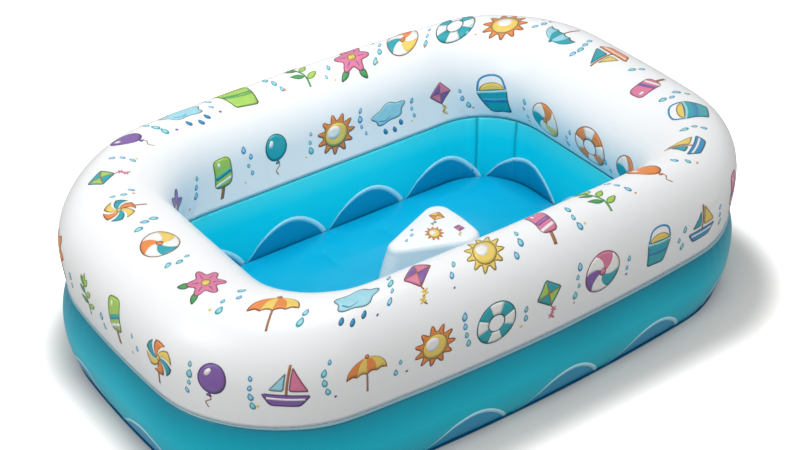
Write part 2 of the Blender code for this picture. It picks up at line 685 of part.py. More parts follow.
def main():
    """Clear the scene and build the bath."""
    for old in list(bpy.data.objects):
        bpy.data.objects.remove(old)
    upper, outer = make_rings()
    make_seams()
    make_webs()
    make_floor_ties()
    make_floor()
    make_horn()
    far_side = END_STEPS + CORNER_STEPS
    make_valve("upper_ring", on_face(upper_ring_face(), WALL_STEPS - 1, far_side + 1), upper)
    make_valve("lower_ring", on_face(outer_wall_face(), WALL_STEPS + 1, far_side + SIDE_STEPS - 2), outer)


main()
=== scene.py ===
"""Looks of an inflatable bath: films, welds, print, fittings and studio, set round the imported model.

Metres, +Z up. X runs along the bath and Z = 0 is the ground. Each film is a surface on a grid of levels up
its section and places round the bath, worked out with numpy, and gets a film's thickness afterwards.
"""
import json
import math

import bpy
import numpy as np
from bpy.props import FloatProperty, FloatVectorProperty, IntProperty, PointerProperty
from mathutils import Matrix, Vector


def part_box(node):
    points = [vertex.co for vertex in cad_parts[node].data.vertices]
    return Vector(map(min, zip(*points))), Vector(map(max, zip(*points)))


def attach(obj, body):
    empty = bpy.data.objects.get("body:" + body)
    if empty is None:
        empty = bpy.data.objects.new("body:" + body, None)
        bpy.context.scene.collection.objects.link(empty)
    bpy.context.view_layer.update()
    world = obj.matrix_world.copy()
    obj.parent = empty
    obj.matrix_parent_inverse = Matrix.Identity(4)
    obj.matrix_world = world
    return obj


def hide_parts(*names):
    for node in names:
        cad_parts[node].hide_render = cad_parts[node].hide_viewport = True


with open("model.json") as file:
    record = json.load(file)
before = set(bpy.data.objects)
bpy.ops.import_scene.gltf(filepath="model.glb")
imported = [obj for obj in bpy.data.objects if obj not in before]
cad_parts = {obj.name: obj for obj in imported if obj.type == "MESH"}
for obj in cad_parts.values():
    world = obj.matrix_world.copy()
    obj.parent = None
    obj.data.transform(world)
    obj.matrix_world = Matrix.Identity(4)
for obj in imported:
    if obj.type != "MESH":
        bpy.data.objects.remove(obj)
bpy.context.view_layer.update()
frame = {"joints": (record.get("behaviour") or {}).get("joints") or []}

bl_info = {
    "name": "Inflatable Bath",
    "version": (1, 0, 0),
    "blender": (4, 5, 0),
    "location": "View3D > Sidebar > Bath",
    "description": "Builds the films, welds, print and fittings of an inflatable bath, and its studio",
    "category": "Add Mesh",
}

UPPER_LOW, UPPER_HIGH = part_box("upper_ring_skin")
LOWER_LOW, LOWER_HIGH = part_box("lower_ring_outer_wall")
FLOOR_LOW, FLOOR_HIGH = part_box("floor_sheet")
OUTER_SEAM_LOW, OUTER_SEAM_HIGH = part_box("outer_seam_weld")
INNER_SEAM_LOW, INNER_SEAM_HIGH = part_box("inner_seam_weld")
BASE_SEAM_LOW, BASE_SEAM_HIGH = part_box("base_seam_weld")
HORN_LOW, HORN_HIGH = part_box("horn_skin")
JOINTS = {joint["name"]: joint for joint in frame["joints"]}

# Films, ink and fits
FILM = 0.0004
INK = 0.00004
GAP = 0.0003

# Places round the bath and levels up its sections
END_STEPS = 62
SIDE_STEPS = 142
CORNER_STEPS = 68
PLACES = 2 * (END_STEPS + SIDE_STEPS) + 4 * CORNER_STEPS
CORNER_STARTS = np.cumsum([END_STEPS, CORNER_STEPS + SIDE_STEPS, CORNER_STEPS + END_STEPS,
                           CORNER_STEPS + SIDE_STEPS])
SOFTENING = 9
WALL_LEVELS = 11
CROWN_LEVELS = 50
OUTER_LEVELS = 15
BASIN_LEVELS = 28
TURN_STEPS = 72
FULL_TURN = 2 * math.pi

# Seams
SEAM_THICKNESS = 0.0012
SEAM_ROOT = 0.002
LIP_REACH = 0.0023
LIP_DROOP = 0.0016
FOOT_LIP = 0.0022

# Ways round a basin corner at which its wall buckles into an upright fold
FOLD_SHARES = (0.265, 0.66)

# Bent folds of the upper film, each a groove along part of a circle on the film's own plane
CREASES = (
    # way round, way up the section, radius, start and end of the arc in turns, depth
    (0.545, 0.110, 0.030, 0.02, 0.40, 0.0009),
    (0.565, 0.085, 0.050, 0.10, 0.34, 0.0006),
    (0.705, 0.125, 0.040, 0.05, 0.30, 0.0006),
    (0.905, 0.100, 0.035, 0.55, 0.95, 0.0007),
    (0.215, 0.120, 0.040, 0.08, 0.36, 0.0007),
    (0.405, 0.105, 0.032, 0.05, 0.42, 0.0007),
    (0.640, 0.260, 0.034, 0.52, 0.92, 0.0006),
    (0.130, 0.255, 0.030, 0.56, 0.90, 0.0006),
)

# Radius of the air hole in a tie web, rounding of a fitting's corners, and height of a flange off the film
WEB_HOLE = 0.0165
SOFT_EDGE = 0.0004
UNDERSIDE = 0.00005

# How far the ink of the waves lies off the film, and how far a mark keeps from a valve
LINE_LIFT = 0.00026
FILL_LIFT = 0.00018
KEEP_CLEAR = 0.023

# Flat way from the camera over the bath, and the ways round the crown between which its marks face inwards
FAR_WAY = (0.59, 0.81)
TURNED_FROM, TURNED_TO = 0.10, 0.58


def length(default, description):
    """A size in metres."""
    return FloatProperty(description=description, default=default, min=0, unit="LENGTH", precision=4)


def shift(default, description):
    """A place in metres, which may be negative."""
    return FloatProperty(description=description, default=default, unit="LENGTH", precision=4)


def amount(default, description):
    """A plain number."""
    return FloatProperty(description=description, default=default)


def colour(default, description):
    """A colour, as linear red, green and blue."""
    return FloatVectorProperty(description=description, default=default, min=0, max=1, size=3,
                               subtype="COLOR")


def named(group):
    """Give each property of a group a name, made from its attribute's own."""
    for attribute, declared in group.__annotations__.items():
        declared.keywords["name"] = attribute.replace("_", " ").capitalize()
    return group


@named
class BathRings(bpy.types.PropertyGroup):
    """Plans and levels of the two air rings."""
    upper_length: length(UPPER_HIGH.x - UPPER_LOW.x, "Length of the upper ring")
    upper_width: length(UPPER_HIGH.y - UPPER_LOW.y, "Width of the upper ring")
    upper_corner: length(0.147, "Corner radius of the upper ring's plan")
    mouth_length: length(0.548, "Length of the mouth")
    mouth_width: length(0.366, "Width of the mouth")
    mouth_corner: length(0.090, "Corner radius of the mouth")
    waist_height: length(0.157, "Height at which the upper ring is widest")
    crown_height: length(UPPER_HIGH.z, "Height of the upper ring's crown")
    lower_length: length(LOWER_HIGH.x - LOWER_LOW.x, "Length of the lower ring")
    lower_width: length(LOWER_HIGH.y - LOWER_LOW.y, "Width of the lower ring")
    lower_corner: length(0.165, "Corner radius of the lower ring's plan")
    belly_height: length(0.054, "Height at which the lower ring is widest")
    wall_swell: length(0.003, "Swell of the outer wall between its belly and its seam")
    foot_inset: length(0.013, "How far the outer wall draws in to its foot")
    seam_inset: length(0.005, "How far the upper ring draws in to the outer seam")
    end_bulge: length(0.018, "Swell of the ends")
    side_bulge: length(0.027, "Swell of the long sides")
    basin_length: length(0.584, "Length of the basin")
    basin_width: length(0.360, "Width of the basin")
    basin_corner: length(0.093, "Corner radius of the basin")
    basin_swell: length(0.003, "Swell of the basin's wall at half height")


@named
class BathFloor(bpy.types.PropertyGroup):
    """The cushioned floor."""
    height: length(FLOOR_HIGH.z, "Height of the cushion's flat top")
    shoulder: length(0.045, "Width of the rounded edge of the cushion")
    pillow: length(0.0032, "Rise of the cushion between its ties")
    tie_spacing: length(0.100, "Distance from tie to tie")
    tie_length: length(0.240, "Length of each tie")


@named
class BathHorn(bpy.types.PropertyGroup):
    """The saddle horn."""
    tip_foot: shift(-0.049, "X of the tip at the floor")
    tip_top: shift(-0.030, "X of the tip at the top")
    end: shift(0.092, "X of the blunt end")
    width: length(0.098, "Width of the blunt end")
    tip_radius: length(0.014, "Radius of the tip in plan")
    corner: length(0.022, "Radius of the end's corners in plan")
    height: length(HORN_HIGH.z, "Height of the top")
    shoulder: length(0.010, "Radius of the top's edge")
    dome: length(0.004, "Rise of the top")
    flare: length(0.004, "How far the foot spreads")
    flare_height: length(0.010, "Height of the spreading foot")
    swell: length(0.0012, "Swell of the sides at half height")


@named
class BathFittings(bpy.types.PropertyGroup):
    """Moulded air valves and drain."""
    flange_radius: length(0.017, "Radius of a valve's welded flange")
    mouth_radius: length(0.0125, "Radius of the dish at the film")
    floor_radius: length(0.0092, "Radius of the dish's floor")
    depth: length(0.005, "Depth of the dish")
    wall: length(0.0008, "Thickness of the dish")
    collar: length(0.003, "Length of the collar round the stem")
    stem_radius: length(0.0056, "Outer radius of the stem")
    bore_radius: length(0.0038, "Radius of the stem's bore")
    stem_length: length(0.015, "Length of the stem")
    rim_radius: length(0.0077, "Radius of the stem's rim")
    rim_thickness: length(0.0012, "Thickness of the stem's rim")
    bead_radius: length(0.0067, "Radius of the bead at the stem's inner end")
    bead_length: length(0.001, "Length of that bead")
    flap_tab: length(0.003, "Width of the flap's hinge tab")
    cap_radius: length(0.006, "Radius of the stopper's cap")
    cap_thickness: length(0.001, "Thickness of the stopper's cap")
    plug_length: length(0.0045, "Length of the stopper's plug")
    strap_width: length(0.004, "Width of the stopper's strap")
    tab_reach: length(0.0024, "How far the pull tab stands out")
    drain_bore: length(0.0085, "Radius of the drain's bore")
    drain_wall: length(0.002, "Thickness of the drain's tube")
    drain_flange: length(0.0157, "Radius of the drain's flange")
    drain_flange_thickness: length(0.001, "Thickness of the drain's flange")
    drain_cap: length(0.0125, "Radius of the drain plug's cap")
    drain_cap_thickness: length(0.0012, "Thickness of the drain plug's cap")
    drain_plug_length: length(0.006, "Length of the drain plug")
    drain_strap: length(0.007, "Width of the drain plug's strap")
    drain_tab: length(0.006, "How far the drain plug's tab stands out")


@named
class BathColours(bpy.types.PropertyGroup):
    """Colours of the films and of the waves on them."""
    white: colour((0.87, 0.88, 0.89), "Upper ring and horn")
    # Teal is darker than teal_low as painted shade: the upper ring's overhang shadowing the wall under the
    # seam.
    teal: colour((0.0, 0.20, 0.29), "Outer wall under the seam")
    teal_low: colour((0.0, 0.50, 0.64), "Outer wall near its foot")
    cyan: colour((0.0, 0.62, 0.79), "Basin wall")
    deep: colour((0.0, 0.44, 0.70), "Floor")
    cyan_high: colour((0.06, 0.68, 0.76), "Basin wall near its top")
    pale: colour((0.26, 0.46, 0.54), "Lip of the outer seam")
    dark: colour((0.003, 0.10, 0.24), "Weld along the foot")
    fold: colour((0.0, 0.26, 0.36), "Seam line and folds of the basin wall")
    clear: colour((0.80, 0.87, 0.90), "Valves and drain")
    crest: colour((0.44, 0.83, 0.95), "Line along each wave")
    trough: colour((0.0, 0.31, 0.54), "Fill of each wave")


@named
class BathPrint(bpy.types.PropertyGroup):
    """The print on the upper ring and its inks."""
    seed: IntProperty(description="Start of the random layout", default=7)
    size: length(0.058, "Usual height of a motif")
    spacing: length(0.086, "Distance from motif to motif along a row")
    drop_size: length(0.0115, "Usual height of a drop")
    outer_row: length(0.056, "Way up the section to the middle of the outer row")
    crown_row: shift(-0.002, "Way from the crown's top, inwards, to the crown row")
    crown_lean: length(0.012, "How far that row lies off its way towards +X +Y")
    inner_row: length(0.044, "Way up from the inner seam to the inner row")
    white: colour((0.86, 0.86, 0.84), "White ink")
    orange: colour((0.80, 0.25, 0.05), "Orange ink")
    yellow: colour((0.82, 0.60, 0.12), "Yellow ink")
    lime: colour((0.36, 0.60, 0.10), "Light green ink")
    leaf_green: colour((0.06, 0.33, 0.10), "Green ink")
    teal: colour((0.01, 0.36, 0.42), "Teal ink")
    sky: colour((0.33, 0.66, 0.76), "Pale blue ink")
    blue: colour((0.02, 0.26, 0.52), "Blue ink")
    purple: colour((0.21, 0.10, 0.38), "Purple ink")
    pink: colour((0.70, 0.19, 0.33), "Pink ink")
    brown: colour((0.36, 0.15, 0.05), "Brown ink")


@named
class BathWaves(bpy.types.PropertyGroup):
    """The waves printed along both blue walls, outside and round the basin."""
    outer_count: IntProperty(description="Waves round the outer wall", default=17)
    outer_start: length(1.9178, "Running length at which one of them starts")
    outer_length: length(0.138, "Length of one wave")
    outer_height: length(0.039, "Height of one wave")
    outer_line: length(0.0056, "Width of the line along the wave")
    outer_lean: amount(1.45, "How far past its middle a wave is highest, as a power")
    outer_softness: amount(0.42, "Share of the wave over which it rises softly")
    inner_count: IntProperty(description="Waves round the basin", default=13)
    inner_start: length(0.658, "Running length at which one of them starts")
    inner_length: length(0.129, "Length of one wave")
    inner_height: length(0.045, "Height of one wave")
    inner_line: length(0.0076, "Width of the line along the wave")
    inner_lean: amount(1.12, "How far past its middle a wave is highest, as a power")
    inner_softness: amount(0.18, "Share of the wave over which it rises softly")


@named
class BathStudio(bpy.types.PropertyGroup):
    """Camera, lights and floor."""
    azimuth: amount(-36.2, "Camera's turn round the bath, in degrees")
    elevation: amount(34.34, "Camera's height angle, in degrees")
    distance: length(2.1955, "Camera to what it looks at")
    lens: amount(76.57, "Focal length in millimetres")
    target: FloatVectorProperty(description="What the camera looks at", size=3, unit="LENGTH",
                                default=(-0.0093, 0.0043, 0.1005))
    rise: amount(0.0071, "Camera's vertical shift")
    key_power: amount(16.0, "Power of the overhead light in watts")
    fill_power: amount(9.5, "Power of the light from the left in watts")
    basin_power: amount(0.26, "Power of the light over the basin in watts")
    world_strength: amount(0.68, "Strength of the light all round")
    shadow_reach: length(0.078, "How far round the bath the floor keeps its shadow")
    shadow_shift: shift(-0.032, "How far the shadow lies off the bath, along Y")


def outline(long_side, short_side, corner, end_bulge=0.0, side_bulge=0.0):
    """Plan of a ring: a rounded rectangle, anticlockwise from the -Y end of its +X side.

    The straight sides swell outwards by half a cosine wave, full at mid-side and nil at the far corners.
    """
    flat_x = long_side / 2 - end_bulge
    flat_y = short_side / 2 - side_bulge
    centre = np.array([flat_x - corner, flat_y - corner])
    signs = np.array([(1, 1), (-1, 1), (-1, -1), (1, -1)])
    parts = []
    for quarter in range(4):
        steps = SIDE_STEPS if quarter % 2 else END_STEPS
        before, after = centre * signs[quarter - 1], centre * signs[quarter]
        turn = quarter * math.pi / 2
        share = np.arange(steps)[:, None] / steps
        parts.append(before + (after - before) * share + corner * np.array([math.cos(turn), math.sin(turn)]))
        angle = turn + np.arange(CORNER_STEPS) / CORNER_STEPS * math.pi / 2
        parts.append(after + corner * np.column_stack([np.cos(angle), np.sin(angle)]))
    flat = np.concatenate(parts)
    plan = flat.copy()
    plan[:, 0] += end_bulge * np.cos(flat[:, 1] / flat_y * math.pi / 2) * flat[:, 0] / flat_x
    plan[:, 1] += side_bulge * np.cos(flat[:, 0] / flat_x * math.pi / 2) * flat[:, 1] / flat_y
    return softened(plan)


def softened(row, reach=SOFTENING):
    """A closed row averaged over its neighbours with raised-cosine weights, so its curvature has no steps."""
    offsets = np.arange(-reach, reach + 1)
    weights = 1 + np.cos(offsets / (reach + 1) * math.pi)
    weights /= weights.sum()
    return sum(weight * np.roll(row, offset, axis=0) for weight, offset in zip(weights, offsets))


def outward(plan):
    """Unit ways outwards, square to a plan."""
    along = np.roll(plan, -1, 0) - np.roll(plan, 1, 0)
    return np.stack([along[:, 1], -along[:, 0]], 1) / np.linalg.norm(along, axis=1)[:, None]


def grown(plan, distance):
    """The plan moved outwards, by one distance or by one for each place."""
    return plan + outward(plan) * np.broadcast_to(distance, len(plan))[:, None]


def level(plan, height):
    """A plan as a row of points in space, at one height or at a height for each place."""
    return np.column_stack([plan, np.broadcast_to(height, len(plan))])


def between(plan, other, shares, heights):
    """A grid of points: for each level a mix of two plans by its share, at its height."""
    flat = plan + (other - plan) * shares[:, None, None]
    upright = np.broadcast_to(np.asarray(heights)[:, None, None], (len(shares), len(plan), 1))
    return np.concatenate([flat, upright], axis=2)


def drawn_in(plan, seam, widest, low, share):
    """A wall below its widest level: it draws in to its seam by the square of the way down."""
    return between(plan, seam, share ** 2, widest - (widest - low) * share)


def smooth_step(low, high, value):
    """Nil below the low value, one above the high one, and 3t^2 - 2t^3 between them."""
    share = np.clip((value - low) / (high - low), 0, 1)
    return share * share * (3 - 2 * share)


def grid_normals(points):
    """Unit normals of a closed grid: the step along the places crossed with the step up the levels."""
    along = np.roll(points, -1, 1) - np.roll(points, 1, 1)
    normals = np.cross(along, np.gradient(points, axis=0))
    return normals / np.maximum(np.linalg.norm(normals, axis=2), 1e-12)[:, :, None]


def running(row, closed=True):
    """Running length along a row of points, and back to the first of them where the row is closed."""
    if closed:
        row = np.concatenate([row, row[:1]])
    return np.concatenate([[0.0], np.cumsum(np.linalg.norm(np.diff(row, axis=0), axis=-1))])


def ripple(around, up, wave_length, seed, waves=7):
    """Soft unevenness from -1 to 1: a sum of cosine waves of random direction, length and phase.

    Each wave fits a whole number of times round the bath, so the ends of the grid meet.
    """
    random = np.random.default_rng(seed)
    whole = around[-1]
    total = np.zeros((len(up), len(around) - 1))
    for _ in range(waves):
        turns = round(whole / wave_length * random.uniform(0.5, 1.4))
        climb = random.uniform(-1, 1) * FULL_TURN / wave_length
        phase = random.uniform(0, FULL_TURN)
        total += np.cos(FULL_TURN * turns * around[None, :-1] / whole + climb * up[:, None] + phase)
    return total / waves


def puckers(around, height_from_seam, wave_length, fade, seed):
    """Small folds square to a seam: waves along it whose height fades over a distance from it."""
    random = np.random.default_rng(seed)
    whole = around[-1]
    place = around[None, :-1] / whole * FULL_TURN
    turns = round(whole / wave_length)
    wander = sum(random.uniform(0.5, 1.0) * np.cos(place * number + random.uniform(0, FULL_TURN))
                 for number in (5, 9, 17, 23))
    swing = 0.6 + 0.4 * np.cos(place * 31 + random.uniform(0, FULL_TURN))
    return np.cos(turns * place + 1.6 * wander) * swing * np.exp(-height_from_seam[:, None] / fade)


def corner_weight():
    """One in the corners of every plan and nil along its sides, with soft ends."""
    weight = np.zeros(PLACES)
    for start in CORNER_STARTS:
        weight[start:start + CORNER_STEPS] = 1
    return softened(weight, 2 * SOFTENING)


def corner_places(shares=(0, 1)):
    """Places at shares of the way round each corner: by default its ends, where the tie webs are welded."""
    return [round(start + CORNER_STEPS * share) % PLACES for start in CORNER_STARTS for share in shares]


def relieved(points, section, ripples, folds, hold_length, marks=0.0):
    """A film's points moved off its smooth form by its ripples, its folds at the seams and marks of its own.

    Each ripple has a height, running lengths round the bath, a wave length and a seed. Each fold has heights
    along the sides and in the corners, running lengths, distances from its seam, a wave length, the distance
    over which it fades and a seed. All of it is held to nil at both edges.
    """
    total = marks
    for height, around, wave_length, seed in ripples:
        total = total + height * ripple(around, section, wave_length, seed)
    for flat, cornered, around, away, wave_length, fade, seed in folds:
        total = total + (flat + cornered * corner_weight()) * puckers(around, away, wave_length, fade, seed)
    hold = smooth_step(0, hold_length, section) * smooth_step(0, hold_length, section[-1] - section)
    return points + grid_normals(points) * (total * hold[:, None])[:, :, None]


class Seat:
    """Where a fitting sits on a film: its middle, the way off the film, and the ways up and across it."""

    def __init__(self, out, hinge, pivot_reach, pivot_height):
        self.out = np.array(out) / np.linalg.norm(out)
        self.across = np.array(hinge["axis"]) / np.linalg.norm(hinge["axis"])
        self.uphill = np.cross(self.across, self.out)
        self.middle = np.array(hinge["pos_m"]) - self.uphill * pivot_reach - self.out * pivot_height

    def placed(self, local):
        """Points given uphill, across and off the film, put where the fitting is."""
        return self.middle + np.asarray(local) @ np.array([self.uphill, self.across, self.out])

    def measured(self, points):
        """How high points lie off the film's plane here, and how they lie beside the middle."""
        offset = points - self.middle
        height = offset @ self.out
        return height, offset - height[..., None] * self.out


def seated(points, seat, flat_radius=0.020, fade_radius=0.042):
    """The film with its face drawn flat round a fitting, on the fitting's own plane."""
    height, beside = seat.measured(points)
    weight = 1 - smooth_step(flat_radius, fade_radius, np.linalg.norm(beside, axis=-1))
    weight *= np.abs(height) < fade_radius
    return points - (height * weight)[..., None] * seat.out


def grid_cells(levels, places, closed=True):
    """Four corners of each cell of a grid, as level times places plus place."""
    index = np.arange(levels * places).reshape(levels, places)
    beside = np.roll(index, -1, 1)
    cells = np.stack([index[:-1], beside[:-1], beside[1:], index[1:]], axis=-1)
    return (cells if closed else cells[:, :-1]).reshape(-1, 4)


def pierced(flat, cells, seat, radius):
    """Points and cells with a round hole: cells inside it go, and its border is moved on to its circle."""
    height, beside = seat.measured(flat[cells].mean(axis=1))
    inside = (np.linalg.norm(beside, axis=1) < radius) & (np.abs(height) < radius)
    border = np.intersect1d(cells[~inside], cells[inside])
    beside = seat.measured(flat[border])[1]
    flat = flat.copy()
    flat[border] += beside * (radius / np.linalg.norm(beside, axis=1)[:, None] - 1)
    return flat, cells[~inside]


def with_pole(flat, places):
    """The grid's points with one more in the middle of the last level, and the fan of faces round it."""
    ring = len(flat) - places + np.arange(places)
    fan = np.column_stack([ring, np.roll(ring, -1), np.full(places, len(flat))])
    return np.concatenate([flat, flat[ring].mean(axis=0)[None]]), fan


def put_in_scene(name, data):
    """An object for some data, linked into the scene."""
    made = bpy.data.objects.new(name, data)
    bpy.context.scene.collection.objects.link(made)
    return made


def make_object(name, points, faces, material, attributes=()):
    """A smooth-shaded mesh object at the origin from points and faces, with float or colour attributes."""
    mesh = bpy.data.meshes.new(name)
    lists = [face for part in faces for face in np.asarray(part).tolist()]
    mesh.from_pydata(np.asarray(points, float).reshape(-1, 3).tolist(), [], lists)
    for label, kind, field, values in attributes:
        layer = mesh.attributes.new(label, kind, "POINT")
        layer.data.foreach_set(field, np.asarray(values, np.float32).ravel())
    mesh.shade_smooth()
    mesh.materials.append(material)
    return put_in_scene(name, mesh)


def thicken(made, thickness=FILM, offset=-1):
    """Give an open film its thickness: inwards, outwards (1) or to both sides (0)."""
    modifier = made.modifiers.new("Film", "SOLIDIFY")
    modifier.thickness = thickness
    modifier.offset = offset
    modifier.use_quality_normals = True
    return made


def film(name, face, material, hole=None, pole=False, attributes=(), offset=-1):
    """A film over a grid, closed at a pole on its last level and pierced by its hole, a seat and a radius."""
    levels, places = face.shape[:2]
    points, cells = face.reshape(-1, 3), grid_cells(levels, places)
    fan = np.empty((0, 3), int)
    if pole:
        points, fan = with_pole(points, places)
    if hole:
        points, cells = pierced(points, cells, *hole)
    used, numbers = np.unique(np.concatenate([cells.ravel(), fan.ravel()]), return_inverse=True)
    faces = [numbers[:cells.size].reshape(-1, 4), numbers[cells.size:].reshape(-1, 3)]
    return thicken(make_object(name, points[used], faces, material, attributes), FILM, offset)


def closed_piece(name, points, faces, material):
    """A closed piece, its faces turned to point outwards where its volume comes out negative."""
    made = make_object(name, points, faces, material)
    mesh = made.data
    mesh.calc_loop_triangles()
    corners = np.empty(len(mesh.loop_triangles) * 3, np.int32)
    mesh.loop_triangles.foreach_get("vertices", corners)
    first, second, third = np.moveaxis(np.reshape(points, (-1, 3))[corners.reshape(-1, 3)], 1, 0)
    if np.einsum("ij,ij->", first, np.cross(second, third)) < 0:
        mesh.flip_normals()
    return made


def hoop(name, rows, material):
    """A closed ring from rows of points, one for each corner of its section."""
    points = np.array(rows)
    corners, places = points.shape[:2]
    index = np.arange(corners * places).reshape(corners, places)
    beside, following = np.roll(index, -1, 1), np.roll(index, -1, 0)
    cells = np.stack([index, beside, np.roll(following, -1, 1), following], axis=-1).reshape(-1, 4)
    return closed_piece(name, points, [cells], material)


def closed_rows(name, rows, material):
    """A closed piece from rows of points round an axis, with both its ends gathered to one point."""
    levels, places = rows.shape[:2]
    points, last = with_pole(rows.reshape(-1, 3), places)
    first = np.column_stack([np.roll(np.arange(places), -1), np.arange(places), np.full(places, len(points))])
    points = np.concatenate([points, rows[0].mean(axis=0)[None]])
    return closed_piece(name, points, [grid_cells(levels, places), last, first], material)


def join_frame(made, body, slot_name, *nodes):
    """Let a piece ride on its body and hide the imported parts of its nodes; the slot name is not used."""
    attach(made, body)
    if nodes:
        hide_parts(*nodes)
    return made


class Bath:
    """Plans and film faces of the bath, worked out from the sizes in the scene."""

    def __init__(self, scene):
        self.rings = rings = scene.bath_rings
        self.floor, self.horn, self.fittings = scene.bath_floor, scene.bath_horn, scene.bath_fittings
        bulges = (rings.end_bulge, rings.side_bulge)
        self.upper = outline(rings.upper_length, rings.upper_width, rings.upper_corner, *bulges)
        self.mouth = outline(rings.mouth_length, rings.mouth_width, rings.mouth_corner)
        self.lower = outline(rings.lower_length, rings.lower_width, rings.lower_corner, *bulges)
        self.basin = outline(rings.basin_length, rings.basin_width, rings.basin_corner)
        self.seam = grown(self.upper, -rings.seam_inset)
        self.foot = grown(self.lower, -rings.foot_inset)
        self.seam_middle = OUTER_SEAM_HIGH.z - SEAM_THICKNESS / 2
        self.foot_height = BASE_SEAM_HIGH.z + GAP
        parts = self.fittings
        rim_top = self.valve_levels()[3] + GAP / 2
        flange_top = GAP + parts.drain_flange_thickness + GAP / 2
        self.seats = {prefix: Seat(JOINTS[f"{prefix}_valve_pop"]["axis"], JOINTS[f"{prefix}_stopper_hinge"],
                                   parts.rim_radius + GAP, rim_top)
                      for prefix in ("upper_ring", "lower_ring", "horn")}
        self.seats["drain"] = Seat((0, 0, 1), JOINTS["drain_plug_hinge"], parts.drain_flange + GAP,
                                   flange_top)
        dish = parts.mouth_radius + parts.wall + GAP
        self.holes = {name: (seat, dish) for name, seat in self.seats.items()}
        self.holes["drain"] = (self.seats["drain"], parts.drain_bore + parts.drain_wall + GAP)

    def valve_levels(self):
        """Heights off the film of the dish's top and floor, of the stem's rim and of its inner end."""
        parts = self.fittings
        top = GAP + parts.wall
        floor = top - parts.depth
        rim_low = floor + GAP
        rim_top = rim_low + parts.rim_thickness
        return top, floor, rim_low, rim_top, rim_top - parts.stem_length

    def upper_face(self):
        """Face of the upper ring, from the outer seam over the crown to the inner seam.

        Above its waist the section is half an ellipse.
        """
        waist = self.rings.waist_height
        down = np.linspace(0, 1, WALL_LEVELS + 1)[1:]
        outer = drawn_in(self.upper, self.seam, waist, OUTER_SEAM_HIGH.z + GAP, down[::-1])
        angle = np.linspace(0, math.pi, CROWN_LEVELS + 1)
        heights = waist + (self.rings.crown_height - waist) * np.sin(angle)
        crown = between(self.upper, self.mouth, (1 - np.cos(angle)) / 2, heights)
        inner = drawn_in(self.mouth, self.basin, waist, INNER_SEAM_HIGH.z + GAP, down)
        points = np.concatenate([outer, crown, inner])
        section = running(points[:, 0], closed=False)
        around = running(self.upper)
        points = relieved(
            points, section,
            [(0.00045, around, 0.19, 3), (0.00020, around, 0.07, 4)],
            [(0.00035, 0.00055, around, section, 0.021, 0.011, 5),
             (0.00030, 0.00100, running(self.mouth), section[-1] - section, 0.019, 0.020, 6)],
            0.004, self.creases(around, section))
        return seated(points, self.seats["upper_ring"])

    def creases(self, around, section):
        """The bent folds: a bell-shaped groove along each arc, with a lower ridge inside it."""
        whole = around[-1]
        total = np.zeros((len(section), PLACES))
        for way, climb, radius, start, end, depth in CREASES:
            along = (around[None, :-1] - way * whole + whole / 2) % whole - whole / 2
            up = section[:, None] - climb
            turn = np.arctan2(up, along) / FULL_TURN % 1
            off = np.hypot(along, up) - radius
            within = smooth_step(start, start + 0.10, turn) * (1 - smooth_step(end - 0.10, end, turn))
            groove, ridge = np.exp(-(off / 0.0045) ** 2), np.exp(-((off + 0.009) / 0.007) ** 2)
            total += depth * within * (0.5 * ridge - groove)
        return total

    def outer_face(self):
        """Outer wall of the lower ring, from its foot up.

        Above the belly it runs straight to the seam, with a parabola's swell between them.
        """
        rings = self.rings
        top = OUTER_SEAM_HIGH.z - SEAM_THICKNESS - GAP
        share = np.linspace(0, 1, OUTER_LEVELS + 1)
        lower = drawn_in(self.lower, self.foot, rings.belly_height, self.foot_height, share[::-1])
        share = share[1:]
        upper = between(self.lower, self.seam, share, rings.belly_height + (top - rings.belly_height) * share)
        swell = rings.wall_swell * 4 * share * (1 - share)
        upper[:, :, :2] += outward(self.lower) * swell[:, None, None]
        points = np.concatenate([lower, upper])
        section = running(points[:, 0], closed=False)
        around = running(self.lower)
        points = relieved(
            points, section, [(0.0004, around, 0.16, 11)],
            [(0.0002, 0.0006, around, section[-1] - section, 0.022, 0.014, 12),
             (0.0002, 0.0006, around, section, 0.024, 0.012, 13)], 0.004)
        return seated(points, self.seats["lower_ring"], fade_radius=0.030)

    def basin_face(self):
        """Basin wall, from its top down: a sine swell, and a groove at each fold and tie web."""
        height = INNER_SEAM_HIGH.z - SEAM_THICKNESS - GAP - self.foot_height
        share = np.linspace(1, 0, BASIN_LEVELS + 1)
        swell = self.rings.basin_swell * np.sin(math.pi * share)
        points = between(self.basin, grown(self.basin, -1.0), swell, self.foot_height + height * share)
        section = (1 - share) * height
        around = running(self.basin)
        folds = corner_places(FOLD_SHARES)
        marks = 0.0008 * self.upright_lines(folds, 0.012) - 0.0018 * self.upright_lines(folds, 0.0032)
        marks -= 0.0004 * self.upright_lines(corner_places(), 0.004)
        return relieved(
            points, section, [(0.0003, around, 0.12, 21)],
            [(0.0002, 0.0007, around, section, 0.020, 0.016, 22),
             (0.0002, 0.0004, around, section[-1] - section, 0.022, 0.012, 23)], 0.006, marks)

    def upright_lines(self, places, half_width):
        """One on the basin wall's upright lines at some places, fading to each side as a bell."""
        around = running(self.basin)
        whole = around[-1]
        away = (around[:-1] - around[places][:, None] + whole / 2) % whole - whole / 2
        return np.exp(-(away / half_width) ** 2).sum(axis=0)

